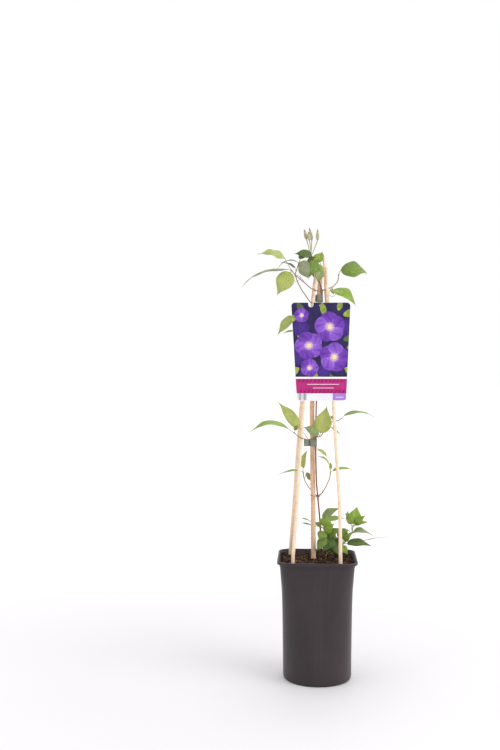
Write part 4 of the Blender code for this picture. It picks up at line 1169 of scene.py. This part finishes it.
build_card()
label_print_and_shadow = Build()
print_picture(label_print_and_shadow)
print_bands_and_shadow(label_print_and_shadow)
label_print_and_shadow.make("label_print_and_shadow", smooth=False)

# ---------------------------------------------------------------- studio
FLOOR_REACH = 40.0
WHITE_LIGHT = (1, 1, 1)


def stage_material(name, colour, glow, far_glow):
    """Pale stage that keeps the object's shadow. The camera sees it lifted, more so away from the object."""
    made = Finish(name, 0.7, 0.2)
    made.paint(colour)
    reach = made.node("VectorMath", operation="LENGTH")
    join(made.tree, made.node("TexCoord").outputs["Object"], reach.inputs[0])
    far = made.node("MapRange", From_Min=0.4, From_Max=2.2, To_Min=glow, To_Max=far_glow,
                    Value=reach.outputs["Value"])
    lift = made.node("Emission", Color=colour, Strength=far.outputs["Result"])
    body = made.shader.outputs[0]
    lifted = made.node("AddShader")
    seen = made.node("MixShader", Fac=made.node("LightPath").outputs["Is Camera Ray"])
    for socket, value in ((lifted.inputs[0], body), (lifted.inputs[1], lift.outputs[0]), (seen.inputs[1], body),
                          (seen.inputs[2], lifted.outputs[0]),
                          (made.tree.nodes["Material Output"].inputs["Surface"], seen.outputs[0])):
        join(made.tree, value, socket)
    return made.mat


def build_floor(size):
    mesh = bpy.data.meshes.new("floor")
    corners = [(-size, -size, 0), (size, -size, 0), (size, size, 0), (-size, size, 0)]
    mesh.from_pydata(corners, [], [(0, 1, 2, 3)])
    mesh.materials.append(stage_material("floor_white", (0.87, 0.85, 0.87), 0.02, 0.4))
    floor = bpy.data.objects.new("floor", mesh)
    bpy.context.scene.collection.objects.link(floor)


build_floor(FLOOR_REACH)
scene = bpy.context.scene
scene.world = bpy.data.worlds.new("studio")
scene.world.use_nodes = True
world = Nodes(scene.world.node_tree)
backdrop = world.tree.nodes["Background"]
join(world.tree, WHITE_LIGHT, backdrop.inputs["Color"])
path = world.node("LightPath")
seen = world.maths("MAXIMUM", path.outputs["Is Glossy Ray"], path.outputs["Is Transmission Ray"])
seen = world.maths("MAXIMUM", path.outputs["Is Camera Ray"], seen)
join(world.tree, world.maths("MULTIPLY_ADD", seen, 0.1, 0.9), backdrop.inputs["Strength"])


def area(name, place, size, power, target=(0, 0, 0.4)):
    lamp = bpy.data.lights.new(name, "AREA")
    lamp.shape = "RECTANGLE"
    lamp.size, lamp.size_y = size
    lamp.energy = power
    obj = bpy.data.objects.new(name, lamp)
    scene.collection.objects.link(obj)
    obj.location = place
    obj.rotation_euler = (Vector(target) - Vector(place)).to_track_quat("-Z", "Y").to_euler()


area("key_right", (1.7, -0.9, 1.1), (1.5, 1.8), 20)
area("fill_left", (-1.8, -1.2, 1.2), (1.2, 1.6), 3)
area("back_top", (0.3, 1.6, 1.9), (1.6, 1.0), 6)

camera = bpy.data.cameras.new("camera")
camera.lens, camera.sensor_width = 44.74, 36
view = bpy.data.objects.new("camera", camera)
scene.collection.objects.link(view)
view.location = (-0.0172, -1.611, 0.52)
view.rotation_euler = (math.radians(90), 0, math.radians(3.5))
scene.camera = view
scene.view_settings.view_transform = "Standard"
